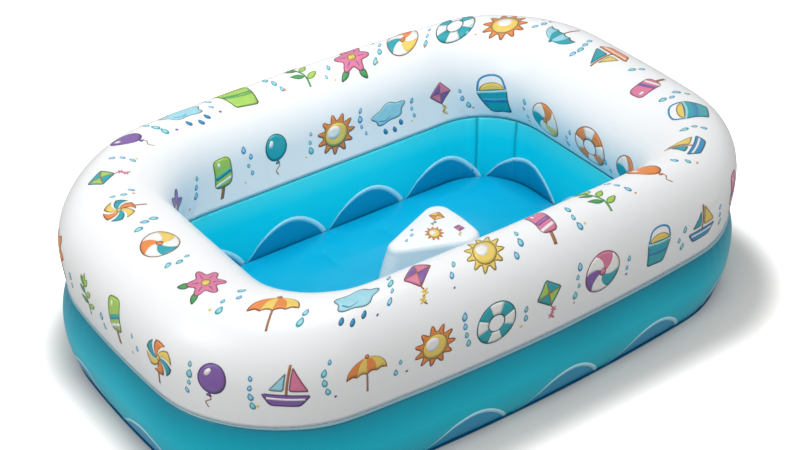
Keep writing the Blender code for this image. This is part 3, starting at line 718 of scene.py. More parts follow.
    def floor_face(self, shoulder_levels=12, inner_levels=46):
        """Top of the floor cushion: a quarter ellipse up from its seam, then shallow pillows."""
        floor = self.floor
        edge = grown(self.basin, -SEAM_ROOT)
        flat = grown(self.basin, -SEAM_ROOT - floor.shoulder)
        angle = np.linspace(0, math.pi / 2, shoulder_levels + 1)
        low = self.foot_height + FILM
        shoulder = between(edge, flat, 1 - np.cos(angle), low + (floor.height - low) * np.sin(angle))
        share = np.linspace(0, 1, inner_levels + 1)[1:-1]
        inner = between(flat, np.zeros_like(flat), share, np.full(len(share), floor.height))
        points = np.concatenate([shoulder, inner])
        points[:, :, 2] += self.pillows(points[:, :, 0], points[:, :, 1])
        return points

    def pillows(self, x, y):
        """Rise of the floor: nil at ties, horn, drain and edge, and full between the ties."""
        floor, rings, horn = self.floor, self.rings, self.horn
        from_edge = np.minimum(rings.basin_length / 2 - np.abs(x), rings.basin_width / 2 - np.abs(y))
        inland = smooth_step(0.012, floor.shoulder * 1.3, from_edge)
        off_tie = np.abs((x / floor.tie_spacing) % 1 - 0.5) * floor.tie_spacing
        last_tie = 1.5 * floor.tie_spacing
        off_tie = np.where(np.abs(x) > last_tie, np.abs(x) - last_tie, off_tie)
        distance = np.hypot(off_tie, np.maximum(np.abs(y) - floor.tie_length / 2, 0))
        pillow = floor.pillow * (1 - np.exp(-distance / 0.016))
        from_horn = np.hypot(np.maximum(np.maximum(horn.tip_foot - x, x - horn.end), 0),
                             np.maximum(np.abs(y) - horn.width / 2, 0))
        drain = self.seats["drain"].middle
        from_drain = np.hypot(x - drain[0], y - drain[1])
        free = smooth_step(0.012, 0.045, from_horn) * smooth_step(0.019, 0.045, from_drain) * inland
        return (pillow + 0.0005 * np.cos(x * 61 + 1) * np.cos(y * 83 + 2)) * free


def arc(radius, share_from, share_to, steps):
    """Points on a circle about the origin, from one share of a turn to another."""
    angles = np.linspace(share_from, share_to, steps + 1) * FULL_TURN
    return np.column_stack([np.cos(angles), np.sin(angles)]) * radius


def horn_plan(horn, tip, arc_steps=26, side_steps=22):
    """Plan of the horn: straight lines round a small circle at its tip and one at each end corner."""
    tip_centre = np.array([tip + horn.tip_radius, 0])
    end_centre = np.array([horn.end - horn.corner, horn.width / 2 - horn.corner])
    reach = end_centre - tip_centre
    lean = math.atan2(reach[1], reach[0]) + math.acos((horn.tip_radius - horn.corner) / np.linalg.norm(reach))
    lean /= FULL_TURN
    arcs = [arc(horn.corner, 0, lean, arc_steps) + end_centre,
            arc(horn.tip_radius, lean, 1 - lean, arc_steps) + tip_centre,
            arc(horn.corner, 1 - lean, 1, arc_steps) + end_centre * (1, -1)]
    share = np.linspace(0, 1, side_steps + 1)[1:-1, None]
    parts = []
    for bend, following in zip(arcs, arcs[1:] + arcs[:1]):
        parts += [bend, bend[-1] + (following[0] - bend[-1]) * share]
    return softened(np.concatenate(parts), 3)


def horn_face(bath):
    """Face of the horn: a foot flared by a square, sides that swell a little, a round shoulder and a dome."""
    horn = bath.horn
    low = HORN_LOW.z
    side_top = horn.height - horn.dome - horn.shoulder
    foot_plan, top_plan = horn_plan(horn, horn.tip_foot), horn_plan(horn, horn.tip_top)
    heights = np.concatenate([low + horn.flare_height * np.linspace(0, 1, 7),
                              np.linspace(low + horn.flare_height, side_top, 15)[1:]])
    share = (side_top - heights) / (side_top - low)
    sides = between(top_plan, foot_plan, share, heights)
    spread_out = np.maximum(1 - (heights - low) / horn.flare_height, 0) ** 2 * horn.flare
    spread_out += horn.swell * np.sin(math.pi * share)
    sides[:, :, :2] += outward(top_plan) * spread_out[:, None, None]
    angle = np.linspace(0, math.pi / 2, 10)[1:]
    brow = grown(top_plan, -horn.shoulder)
    shoulder = between(top_plan, brow, 1 - np.cos(angle), side_top + horn.shoulder * np.sin(angle))
    middle = np.broadcast_to(brow.mean(axis=0), brow.shape)
    share = np.linspace(0, 1, 14)[1:-1]
    dome = between(brow, middle, share, side_top + horn.shoulder + horn.dome * (1 - (1 - share) ** 2))
    points = np.concatenate([sides, shoulder, dome])
    around = running(foot_plan)
    height = points[:, 0, 2]
    turn = around[None, :-1] / around[-1] * FULL_TURN
    folds = np.cos(round(around[-1] / 0.016) * turn + 2 * np.cos(3 * turn))
    fade = 0.00035 * np.exp((low - height) / 0.010) * smooth_step(0, 0.004, height - low)
    fade *= 1 - smooth_step(side_top, side_top + horn.shoulder, height)
    points = points + grid_normals(points) * (folds * fade[:, None])[:, :, None]
    return seated(points, bath.seats["horn"])


def filleted(profile, radius=SOFT_EDGE, steps=3):
    """A closed outline with each corner turned into the quadratic curve between two cut points beside it."""
    corner = np.array(profile, float)

    def cut(other):
        way = other - corner
        reach = np.linalg.norm(way, axis=1)[:, None]
        return corner + way * np.minimum(radius / reach, 0.45)

    start, end = cut(np.roll(corner, 1, 0))[:, None], cut(np.roll(corner, -1, 0))[:, None]
    share = np.linspace(0, 1, steps + 1)[None, :, None]
    curve = (1 - share) ** 2 * start + 2 * share * (1 - share) * corner[:, None] + share ** 2 * end
    return curve.reshape(-1, 2)


def filleted_run(start, corners, end, radius=SOFT_EDGE):
    """The corners between a start and an end, each turned into a short curve."""
    return filleted(np.concatenate([[start], corners, [end]]), radius, 4)[5:-5]


def turned_rows(profile, seat):
    """Rows of points for a closed profile of radii and heights, turned about a seat's way off the film."""
    angles = np.arange(TURN_STEPS) / TURN_STEPS * FULL_TURN
    radii, heights = np.array(profile).T[:, :, None]
    flat = np.broadcast_arrays(radii * np.cos(angles), radii * np.sin(angles), heights)
    return seat.placed(np.stack(flat, axis=-1))


def resampled(edge, count):
    """A closed outline with so many points, evenly spaced along it."""
    lengths = running(edge)
    wanted = np.arange(count) / count * lengths[-1]
    looped = np.concatenate([edge, edge[:1]])
    return np.column_stack([np.interp(wanted, lengths, looped[:, axis]) for axis in (0, 1)])


class Face:
    """A film's outer face as a smooth surface, on which marks are laid true to size."""

    def __init__(self, points):
        self.points = points
        self.levels, self.places = points.shape[:2]
        self.normals = grid_normals(points)
        steps = np.linalg.norm(np.roll(points, -1, 1) - points, axis=2)
        self.around = np.concatenate([np.zeros((self.levels, 1)), np.cumsum(steps, axis=1)], axis=1)
        climbs = np.linalg.norm(np.diff(points, axis=0), axis=2)
        self.up = np.concatenate([np.zeros((1, self.places)), np.cumsum(climbs, axis=0)])

    def at(self, levels, places, lift):
        """Points over the face, on cubic curves through the four grid lines on either hand, raised off it."""
        low, left = np.floor(levels).astype(int), np.floor(places).astype(int)
        up_shares, side_shares = cubic_shares(levels - low), cubic_shares(places - left)
        total = 0
        for row in range(4):
            for column in range(4):
                index = np.clip(low + row - 1, 0, self.levels - 1), (left + column - 1) % self.places
                raised = self.points[index] + np.asarray(lift)[..., None] * self.normals[index]
                total = total + (up_shares[row] * side_shares[column])[..., None] * raised
        return total

    def level_of(self, height, place):
        """Level at a height up the section, measured along the film at one place."""
        return np.interp(height, self.up[:, round(place) % self.places], np.arange(self.levels))

    def place_of(self, distance, level_number):
        """Place at a running length round one level."""
        row = self.around[round(level_number)]
        return np.interp(distance % row[-1], row, np.arange(self.places + 1))

    def run(self, levels, places):
        """Running length at a place round a level, and the length of the step there."""
        wraps = np.floor(places / self.places)
        left = np.clip(np.floor(places - wraps * self.places).astype(int), 0, self.places - 1)
        low = np.clip(np.floor(levels).astype(int), 0, self.levels - 2)
        share = levels - low
        start, end, whole = (self.around[low, column] * (1 - share) + self.around[low + 1, column] * share
                             for column in (left, left + 1, -1))
        part = places - wraps * self.places - left
        return start + (end - start) * part + wraps * whole, end - start

    def lay(self, place, height, across, up, lift):
        """Points so far across and up from a spot, measured on the face, and raised off it.

        The level comes from the way up the section. The place is then found by Newton's rule, from the
        running length that it should have at that level.
        """
        levels = self.level_of(height + up, place)
        start, step = self.run(levels, np.full(levels.shape, float(place)))
        places = place + across / step
        for _ in range(4):
            reached, step = self.run(levels, places)
            places = places + (start + across - reached) / step
        return self.at(levels, places, lift)


def cubic_shares(part):
    """Weights of four grid lines for the cubic curve through the middle two, at a part of the way between."""
    square, cube = part ** 2, part ** 3
    return np.stack([2 * square - cube - part, 3 * cube - 5 * square + 2, 4 * square - 3 * cube + part,
                     cube - square]) / 2


def turned_flat(points, turn):
    """Flat points turned anticlockwise about nought, by an angle in radians."""
    return points @ np.array([[math.cos(turn), math.sin(turn)], [-math.sin(turn), math.cos(turn)]])


def lobed(lobes, middle, swing, width=1.0, turn=0.0):
    """A round shape with lobes: its radius swings as a cosine round it."""
    angles = np.arange(96) / 96 * FULL_TURN
    radius = middle + swing * np.cos(lobes * (angles - turn))
    return np.column_stack([radius * np.cos(angles) * width, radius * np.sin(angles)])


def teardrop():
    """A drop, one unit high: a circle below, drawn up to a point."""
    angles = np.arange(40) / 40 * FULL_TURN
    waist = np.sin(angles / 2 + math.pi / 4) ** 2
    return np.column_stack([0.33 * np.cos(angles) * (1 - 0.75 * waist ** 3), 0.5 * np.sin(angles)])


def curve_through(corners, points):
    """An open cubic curve through a few points, with so many points on it."""
    corners = np.asarray(corners, float)
    padded = np.concatenate([2 * corners[:1] - corners[1:2], corners, 2 * corners[-1:] - corners[-2:-1]])
    spots = np.linspace(0, len(corners) - 1, points)
    low = np.minimum(spots.astype(int), len(corners) - 2)
    shares = cubic_shares(spots - low)
    return sum(shares[number][:, None] * padded[low + number] for number in range(4))


class Stencil:
    """One printed motif: patches of ink on layers, upright, in shares of the motif's height.

    Grid cells turn anticlockwise, so that the ink faces off the film.
    """

    STEP = 0.062
    LINE = 0.026
    LINE_SHADE = 0.34

    def __init__(self, tints, named):
        inks = {name: name for name in ("white", "leaf_green", "yellow", "brown", "blue")}
        self.tints = {name: np.array(getattr(tints, ink)) for name, ink in {**inks, **named}.items()}
        self.points, self.colours, self.layers, self.cells, self.fans = [], [], [], [], []
        self.count = 0

    def grid(self, points, ink, layer, closed=False, pole=False):
        """A patch over a grid of flat points, with its last row closed at a pole if it has one."""
        rows, columns = points.shape[:2]
        self.cells.append(grid_cells(rows, columns, closed) + self.count)
        flat = points.reshape(-1, 2)
        if pole:
            flat, fan = with_pole(flat, columns)
            self.fans.append(fan + self.count)
        self.points.append(flat)
        self.colours.append(np.broadcast_to(ink, (len(flat), 3)))
        self.layers.append(np.full(len(flat), float(layer)))
        self.count += len(flat)

    def disc(self, edge, ink, layer, step=STEP):
        """A filled shape, as rings drawn in to the middle of its edge."""
        middle = edge.mean(axis=0)
        rings = max(1, round(np.linalg.norm(edge - middle, axis=1).max() / step))
        shares = np.arange(rings, 0, -1)[:, None, None] / rings
        self.grid(middle + (edge - middle) * shares, ink, layer, True, True)

    def blob(self, outline, name, layer, line=LINE, step=STEP):
        """A filled shape over a darker line round its edge."""
        edge = resampled(outline, max(10, round(running(outline)[-1] / step)))
        ink = self.tints[name]
        if line:
            self.disc(edge, ink * self.LINE_SHADE, layer)
            self.disc(grown(edge, -line), ink, layer + 1)
        else:
            self.disc(edge, ink, layer, step)

    def patch(self, corners, radius, name, layer, line=LINE):
        """A filled shape with straight sides, its corners anticlockwise and rounded."""
        self.blob(filleted(corners, radius, 5), name, layer, line)

    def oval(self, x, y, width, height, name, layer, line=LINE, turn=0.0, step=STEP):
        """A filled ellipse, turned about its middle."""
        ring = arc(0.5, 0, 1 - 1 / 48, 47) * (width, height)
        self.blob(turned_flat(ring, turn) + (x, y), name, layer, line, step)

    def leaf(self, x, y, long_side, wide_side, turn, name, layer, line=LINE):
        """A pointed leaf from its foot: its width is a sine along it, fullest before the middle."""
        share = np.linspace(0, 1, 24)
        half = wide_side / 2 * np.sin(math.pi * share ** 0.85)
        lower = np.column_stack([share * long_side, -half])
        upper = np.column_stack([share * long_side, half])[-2:0:-1]
        self.blob(turned_flat(np.concatenate([lower, upper]), turn) + (x, y), name, layer, line)

    def ribbon(self, corners, width, name, layer, taper=0.0):
        """A stroke along a curve through its corners, drawn to a point at its far end by the taper."""
        rough = curve_through(corners, 40)
        spine = curve_through(corners, max(4, round(running(rough, closed=False)[-1] / self.STEP) + 1))
        way = np.gradient(spine, axis=0)
        way /= np.linalg.norm(way, axis=1)[:, None]
        side = np.column_stack([-way[:, 1], way[:, 0]])
        half = width / 2 * (1 - taper * np.linspace(0, 1, len(spine)) ** 2)
        wide = np.array([-1, 1])[:, None, None] * half[:, None] * side
        self.grid(spine + wide, self.tints[name], layer + 1)

    def sector(self, middle, radii, angles, name, layer, swirl=0.0, shade=1.0):
        """Part of a ring between two radii and two angles, whose edges swirl on towards its rim."""
        inner, outer = radii
        start, end = angles
        closed = end - start > FULL_TURN - 0.001
        rows = max(1, round((outer - inner) / self.STEP))
        columns = max(3, round((end - start) * outer / self.STEP))
        reach = np.linspace(outer, inner, rows + 1)[:, None]
        turn = np.linspace(start, end, columns + 1)[None, :-1 if closed else None] + swirl * reach / outer
        self.grid(np.stack([reach * np.cos(turn), reach * np.sin(turn)], axis=-1) + middle,
                  self.tints[name] * shade, layer, closed)


def draw_boat(draw):
    """A small sailing boat."""
    draw.ribbon([(0.0, -0.22), (0.0, 0.46)], 0.05, "brown", 0)
    draw.patch([(0.04, -0.10), (0.42, -0.10), (0.04, 0.44)], 0.04, "first", 2)
    draw.patch([(-0.05, -0.10), (-0.05, 0.32), (-0.34, -0.10)], 0.04, "second", 2)
    draw.patch([(-0.47, -0.17), (-0.28, -0.45), (0.28, -0.45), (0.47, -0.17)], 0.07, "third", 2)
    draw.ribbon([(-0.35, -0.27), (0.0, -0.28), (0.35, -0.27)], 0.05, "white", 4)


def draw_ball(draw):
    """A beach ball with swirling panels."""
    draw.sector((0, 0), (0.04, 0.44), (0, FULL_TURN), "first", 0, shade=0.3)
    for number, name in enumerate(("first", "white", "second", "white", "third", "white")):
        start = number * FULL_TURN / 6
        draw.sector((0, 0), (0.07, 0.415), (start, start + FULL_TURN / 6), name, 1, swirl=0.8)
    draw.oval(0, 0, 0.16, 0.16, "first", 2, 0.02)


def draw_parasol(draw):
    """A beach parasol: four panels from its top down to a scalloped edge."""
    draw.ribbon([(0.0, 0.30), (0.0, -0.50)], 0.045, "brown", 0)
    share = np.linspace(0, 1, 33)
    scallops = 0.05 * np.abs(np.sin(4 * math.pi * share))
    hem = np.column_stack([(share - 0.5) * 0.96, scallops - 0.04])
    angle = np.linspace(0, math.pi, 25)[1:-1]
    top = np.column_stack([0.48 * np.cos(angle), 0.42 * np.sin(angle) - 0.04])
    draw.disc(resampled(np.concatenate([hem, top]), 54), draw.tints["first"] * draw.LINE_SHADE, 2)
    drawn = np.linspace(0.98, 0.10, 8)[:, None] * math.pi / 2
    for number, name in enumerate(("first", "second", "first", "second")):
        panel = slice(number * 8, number * 8 + 9)
        x = (share[panel] - 0.5) * 0.91 * np.sin(drawn)
        y = (0.39 * np.cos(drawn) + scallops[panel] * np.sin(drawn) ** 4) - 0.02
        draw.grid(np.stack([x, y], axis=-1), draw.tints[name], 3)
    draw.oval(0, 0.40, 0.10, 0.10, "first", 4, 0.02)


def draw_flower(draw):
    """A flower with six petals and two leaves."""
    draw.leaf(0.12, -0.20, 0.36, 0.17, -0.9, "leaf_green", 0)
    draw.leaf(-0.12, -0.20, 0.36, 0.17, -2.2, "leaf_green", 0)
    draw.blob(lobed(6, 0.35, 0.085) + (0, 0.08), "first", 2)
    for number in range(6):
        vein = turned_flat(np.array([(0.15, 0.0), (0.32, 0.0)]), number * FULL_TURN / 6) + (0, 0.08)
        draw.ribbon(vein, 0.03, "second", 4, taper=0.8)
    draw.oval(0, 0.08, 0.22, 0.22, "yellow", 4)


def draw_sprig(draw):
    """A sprig of leaves on a bent stem."""
    draw.ribbon([(0.02, -0.50), (0.05, -0.20), (-0.03, 0.12), (0.02, 0.36)], 0.05, "leaf_green", 0)
    places = ((0.05, -0.30, 0.35), (0.03, -0.22, 2.75), (0.02, -0.06, 0.55), (0.00, 0.02, 2.55),
              (0.0, 0.18, 0.85), (0.0, 0.22, 2.2))
    for number, (x, y, turn) in enumerate(places):
        draw.leaf(x, y, 0.36 - 0.02 * number, 0.15, turn, ("first", "leaf_green")[number % 2], 2, 0.018)
    draw.leaf(0.01, 0.24, 0.27, 0.13, 1.5, "first", 3, 0.018)


def draw_sun(draw):
    """A sun with pointed rays."""
    draw.blob(lobed(11, 0.385, 0.085), "first", 0)
    draw.oval(0, 0, 0.56, 0.56, "yellow", 2)
    draw.oval(-0.05, 0.06, 0.30, 0.30, "white", 4, 0)


def draw_cloud(draw):
    """A small cloud over three drops."""
    draw.blob(lobed(5, 0.33, 0.045, 1.45, turn=0.3) * (1, 0.78) + (0, 0.14), "first", 0)
    draw.ribbon([(-0.30, 0.05), (-0.12, -0.02), (0.06, 0.06)], 0.03, "blue", 2, taper=0.7)
    for spot in ((-0.24, -0.30), (0.02, -0.38), (0.26, -0.28)):
        draw.blob(teardrop() * 0.20 + spot, "blue", 0, 0.015)


def draw_kite(draw):
    """A kite of two colours with a tail of bows."""
    draw.ribbon([(0.0, -0.16), (0.06, -0.30), (-0.04, -0.40), (0.05, -0.52)], 0.028, "brown", 0)
    for x, y in ((0.05, -0.29), (-0.02, -0.41)):
        draw.patch([(x - 0.09, y - 0.05), (x + 0.09, y - 0.05), (x, y + 0.02)], 0.02, "third", 1, 0)
        draw.patch([(x, y - 0.02), (x + 0.09, y + 0.05), (x - 0.09, y + 0.05)], 0.02, "third", 1, 0)
    draw.patch([(0, 0.50), (-0.32, 0.16), (0, -0.18), (0.32, 0.16)], 0.03, "first", 1)
    draw.patch([(0, 0.45), (-0.27, 0.16), (0, 0.16)], 0.01, "second", 3, 0)
    draw.patch([(0, 0.16), (0, -0.13), (0.27, 0.16)], 0.01, "second", 3, 0)
    draw.ribbon([(0, 0.47), (0, -0.15)], 0.022, "brown", 4)
    draw.ribbon([(-0.29, 0.16), (0.29, 0.16)], 0.022, "brown", 5)


def draw_lifebuoy(draw):
    """A ring buoy with bands."""
    draw.sector((0, 0), (0.17, 0.45), (0, FULL_TURN), "first", 0, shade=draw.LINE_SHADE)
    for number in range(8):
        start = (number + 0.5) * FULL_TURN / 8
        draw.sector((0, 0), (0.195, 0.425), (start, start + FULL_TURN / 8), ("first", "white")[number % 2], 1)


def draw_bucket(draw):
    """A bucket with a band, heaped with sand."""
    draw.ribbon([(-0.33, 0.16), (-0.24, 0.42), (0.0, 0.50), (0.24, 0.42), (0.33, 0.16)], 0.045, "second", 0)
    draw.oval(0, 0.16, 0.58, 0.34, "yellow", 1)
    draw.patch([(-0.37, 0.16), (-0.26, -0.46), (0.26, -0.46), (0.37, 0.16)], 0.06, "first", 3)
    draw.ribbon([(-0.30, -0.10), (0.0, -0.13), (0.30, -0.10)], 0.10, "second", 5)
    draw.ribbon([(-0.35, 0.12), (0.0, 0.09), (0.35, 0.12)], 0.06, "third", 5)


def draw_balloon(draw):
    """A balloon on a string."""
    draw.ribbon([(0.0, -0.22), (0.05, -0.32), (-0.05, -0.42), (0.02, -0.54)], 0.024, "brown", 0)
    draw.patch([(-0.07, -0.26), (0.07, -0.26), (0.0, -0.14)], 0.02, "first", 1, 0.016)
    draw.oval(0, 0.16, 0.56, 0.68, "first", 2)
    draw.oval(-0.11, 0.28, 0.10, 0.20, "white", 4, 0, turn=-0.4)


def draw_pinwheel(draw):
    """A toy windmill on a stick."""
    draw.ribbon([(0.0, 0.10), (0.0, -0.52)], 0.045, "brown", 0)
    for number in range(6):
        start = number * FULL_TURN / 6
        name = ("first", "second", "third")[number % 3]
        draw.sector((0, 0.12), (0.03, 0.37), (start, start + 0.78), name, 2, -0.9, draw.LINE_SHADE)
        draw.sector((0, 0.12), (0.05, 0.345), (start + 0.05, start + 0.70), name, 3, -0.9)
    draw.oval(0, 0.12, 0.12, 0.12, "yellow", 4, 0.02)


def draw_lolly(draw):
    """A striped ice lolly on a stick."""
    draw.ribbon([(0.0, -0.20), (0.0, -0.52)], 0.085, "brown", 0)
    draw.patch([(-0.22, -0.24), (0.22, -0.24), (0.22, 0.50), (-0.22, 0.50)], 0.15, "first", 2)
    draw.ribbon([(-0.19, 0.02), (0.19, 0.14)], 0.10, "second", 4)
    draw.ribbon([(-0.19, -0.16), (0.19, -0.04)], 0.07, "white", 4)
    draw.oval(-0.08, 0.34, 0.07, 0.14, "white", 4, 0)


def draw_drop(draw):
    """One drop with a paler middle."""
    draw.blob(teardrop(), "first", 0, 0, 0.15)
    draw.blob(teardrop() * 0.62, "second", 1, 0, 0.12)


def draw_speck(draw):
    """One round speck."""
    draw.oval(0, 0, 0.9, 0.9, "first", 0, 0, step=0.22)


# Each motif's drawing and the inks that it may be printed in: its first, second and third
MOTIFS = {
    "boats": (draw_boat, ("teal yellow orange", "pink sky purple", "yellow teal blue")),
    "balls": (draw_ball, ("orange teal yellow", "pink purple teal")),
    "parasols": (draw_parasol, ("purple yellow", "teal sky", "orange yellow")),
    "flowers": (draw_flower, ("pink purple", "purple pink", "orange yellow")),
    "sprigs": (draw_sprig, ("lime", "lime")),
    "suns": (draw_sun, ("orange", "yellow")),
    "clouds": (draw_cloud, ("sky", "sky")),
    "kites": (draw_kite, ("orange yellow teal", "teal lime pink", "pink purple yellow")),
    "lifebuoys": (draw_lifebuoy, ("orange", "teal")),
    "buckets": (draw_bucket, ("teal blue sky", "orange brown yellow", "lime leaf_green lime")),
    "balloons": (draw_balloon, ("teal", "purple", "orange")),
    "pinwheels": (draw_pinwheel, ("teal yellow orange", "purple pink sky")),
    "lollies": (draw_lolly, ("pink purple", "orange yellow", "lime teal")),
}
SMALL_MOTIFS = {
    "drops": (draw_drop, ("teal sky", "blue sky")),
    "specks": (draw_speck, ("purple", "yellow", "orange")),
}


class Printer:
    """Ink gathered for one piece, motif by motif."""

    FIRST_LIFT = 0.00012
    LAYER_LIFT = 0.00006

    def __init__(self, scene):
        self.tints = scene.bath_print
        self.stencils = {}
        self.marks = {}

    def stencil(self, kind, number):
        """The stencil of one kind in one of its colourings, drawn on its first use."""
        key = kind, number
        if key not in self.stencils:
            draw, colourings = {**MOTIFS, **SMALL_MOTIFS}[kind]
            named = dict(zip(("first", "second", "third"), colourings[number].split()))
            self.stencils[key] = Stencil(self.tints, named)
            draw(self.stencils[key])
        return self.stencils[key]

    def stamp(self, kind, number, size, turn, lay):
        """Print one motif: lay puts points, given across and up, on the film at their lifts."""
        stencil = self.stencil(kind, number)
        flat = turned_flat(np.concatenate(stencil.points), turn) * size
        points = lay(*flat.T, self.FIRST_LIFT + self.LAYER_LIFT * np.concatenate(stencil.layers))
        empty = {"points": [], "colours": [], "cells": [], "fans": [], "count": 0}
        store = self.marks.setdefault(kind, empty)
        store["points"].append(points)
        store["colours"] += stencil.colours
        for name, faces in (("cells", stencil.cells), ("fans", stencil.fans)):
            store[name] += [part + store["count"] for part in faces]
        store["count"] += len(points)

    def pieces(self, family):
        """One piece for each kind of motif that was printed."""
        for kind, store in self.marks.items():
            faces = [np.concatenate(store[name]) for name in ("cells", "fans") if store[name]]
            ink = np.column_stack([np.concatenate(store["colours"]), np.ones(store["count"])])
            made = make_object(f"{family}_{kind}", np.concatenate(store["points"]), faces, ink_material(),
                               [("ink", "FLOAT_COLOR", "color", ink)])
            join_frame(thicken(made, INK, 1), "bath", None)


class Nodes:
    """A shader tree, built from its inputs up: each call adds a node and gives one of its outputs."""

    def __init__(self, owner, output="ShaderNodeOutputMaterial"):
        owner.use_nodes = True
        self.tree = owner.node_tree
        self.tree.nodes.clear()
        self.surface = self.tree.nodes.new(output).inputs["Surface"]

    def put(self, socket, value):
        """Set a socket to a value, or link it to another socket."""
        if isinstance(value, bpy.types.NodeSocket):
            self.tree.links.new(value, socket)
        else:
            short = isinstance(value, tuple) and len(value) < len(socket.default_value)
            socket.default_value = (*value, 1.0) if short else value

    def add(self, kind, *inputs, out=0, **named):
        """A node with its first inputs in their order, and its other inputs and settings by name."""
        made = self.tree.nodes.new("ShaderNode" + kind)
        for name, value in named.items():
            label = name.replace("_", " ")
            if label in made.inputs:
                self.put(made.inputs[label], value)
            else:
                setattr(made, name, value)
        for socket, value in zip(made.inputs, inputs):
            self.put(socket, value)
        return made.outputs[out]

    def noise(self, scale, detail=2.0, roughness=0.5):
        """Noise in the object's own metres, at so many cells to the metre."""
        place = self.add("TexCoord", out="Object")
        return self.add("TexNoise", Vector=place, Scale=scale, Detail=detail, Roughness=roughness)

    def spread(self, source, low, high, to_low, to_high, **settings):
        """A value mapped from one range to another, clamped."""
        return self.add("MapRange", source, low, high, to_low, to_high, **settings)

    def mixed(self, share, first, second, blend="MIX"):
        """Two colours mixed by a share."""
        made = self.add("Mix", data_type="RGBA", blend_type=blend).node
        for index, value in ((0, share), (6, first), (7, second)):
            self.put(made.inputs[index], value)
        return made.outputs[2]

    def finish(self, shader):
        """Link the tree's last shader to its output."""
        self.tree.links.new(shader, self.surface)


# Every vinyl's own settings. Its tint is one colour, or two that pass into each other between two heights.
VINYLS = {
    "White vinyl": {"tint": "white"},
    # Teal vinyl passes from teal_low near the foot to the darker teal under the seam; that darkening is
    # painted shade of the upper ring's overhang.
    "Teal vinyl": {"tint": (0.055, 0.102, "teal_low", "teal"), "coat": 0.05, "gloss": 0.25},
    # Basin vinyl's through colour is a painted glow: an emission standing in for light let through the wall.
    "Basin vinyl": {"tint": (0.070, 0.105, "cyan", "cyan_high"), "coat": 0.1, "gloss": 0.35, "fold": "fold",
                    "through": "cyan"},
    "Cyan vinyl": {"tint": "deep", "coat": 0.1, "gloss": 0.35},
    "Wave line": {"tint": "crest", "gloss": 0.35},
    "Wave fill": {"tint": "trough", "gloss": 0.35},
    "Pale weld": {"tint": "pale", "roughness": 0.34, "transmission": 0.15, "grain": 2.0},
    "Seam line": {"tint": "fold", "gloss": 0.3},
    "Foot weld": {"tint": "dark", "gloss": 0.3},
    "Clear vinyl": {"tint": "clear", "roughness": 0.18, "transmission": 0.55, "coat": 0.4},
    "Sheet vinyl": {"tint": "clear", "transmission": 0.2, "grain": 1.5},
}
# Strength of the painted glow of the blue basin wall: an emission that stands in for light let through from
# behind
PAINTED_GLOW_STRENGTH = 0.10


def vinyl(scene, name):
    """The vinyl of this name, made on its first use."""
    return bpy.data.materials.get(name) or make_vinyl(scene.bath_colours, name, **VINYLS[name])


def make_vinyl(colours, name, tint, roughness=0.31, coat=0.2, transmission=0.0, grain=1.0, gloss=0.5,
               fold=None, through=None):
    """Soft calendered vinyl: slightly cloudy colour, uneven gloss, a thin clear skin and a fine grain.

    A fold is the colour of dark lines that are read from the wall's own attribute. Through is the colour of a
    painted glow, an emission standing in for the light a thin tinted film lets through from the chamber
    behind it.
    """
    material = bpy.data.materials.new(name)
    nodes = Nodes(material)
    cloudy = nodes.noise(9.0, 3.0)
    if isinstance(tint, str):
        base = tuple(getattr(colours, tint))
    else:
        base = height_blend(nodes, *tint[:2], *(tuple(getattr(colours, end)) for end in tint[2:]))
    if fold:
        line = nodes.add("Attribute", attribute_name="fold_line", out="Fac")
        base = nodes.mixed(nodes.spread(line, 0.10, 0.80, 0.0, 0.85), base, tuple(getattr(colours, fold)))
    shaded = nodes.mixed(nodes.spread(cloudy, 0.15, 0.85, 0.0, 0.04), base, (0.55, 0.60, 0.66), "MULTIPLY")
    rough = nodes.spread(cloudy, 0.15, 0.85, roughness - 0.03, roughness + 0.03)
    swells = nodes.spread(nodes.noise(34.0, 0.0), 0.1, 0.9, 0.0, 0.8)
    height = nodes.add("Math", nodes.noise(420.0), swells, operation="ADD")
    normal = nodes.add("Bump", Height=height, Strength=0.08 * grain, Distance=0.0004)
    glow = {}
    # Painted glow: the film emits its through colour, standing in for light let through from behind.
    if through:
        glow = {"Emission_Color": tuple(getattr(colours, through)), "Emission_Strength": PAINTED_GLOW_STRENGTH}
    nodes.finish(nodes.add("BsdfPrincipled", Base_Color=shaded, Roughness=rough, Normal=normal, IOR=1.53,
                           Coat_Weight=coat, Coat_Roughness=0.22, Transmission_Weight=transmission,
                           Specular_IOR_Level=gloss, **glow))
    return material


def height_blend(nodes, low_height, high_height, low_colour, high_colour):
    """A colour that changes with height over the ground, with a little unevenness."""
    upright = nodes.add("SeparateXYZ", nodes.add("TexCoord", out="Object"), out="Z")
    uneven = nodes.spread(nodes.noise(5.0), 0.1, 0.9, -0.20, 0.20)
    share = nodes.spread(upright, low_height, high_height, 0.0, 1.0)
    share = nodes.add("Math", share, uneven, operation="ADD", use_clamp=True)
    return nodes.mixed(share, low_colour, high_colour)


def ink_material():
    """Printed ink: the colour painted on each motif, a little cloudy and duller than the film."""
    if "Ink" in bpy.data.materials:
        return bpy.data.materials["Ink"]
    material = bpy.data.materials.new("Ink")
    nodes = Nodes(material)
    paint = nodes.add("Attribute", attribute_name="ink", out="Color")
    shade = nodes.spread(nodes.noise(130.0, 3.0, 0.6), 0.3, 0.7, 0.0, 0.22)
    toned = nodes.mixed(shade, paint, (0.62, 0.60, 0.58), "MULTIPLY")
    rough = nodes.spread(nodes.noise(60.0), 0.3, 0.7, 0.28, 0.40)
    normal = nodes.add("Bump", Height=nodes.noise(420.0), Strength=0.08, Distance=0.0004)
    nodes.finish(nodes.add("BsdfPrincipled", Base_Color=toned, Roughness=rough, Normal=normal,
                           Coat_Weight=0.2, Coat_Roughness=0.15))
    return material


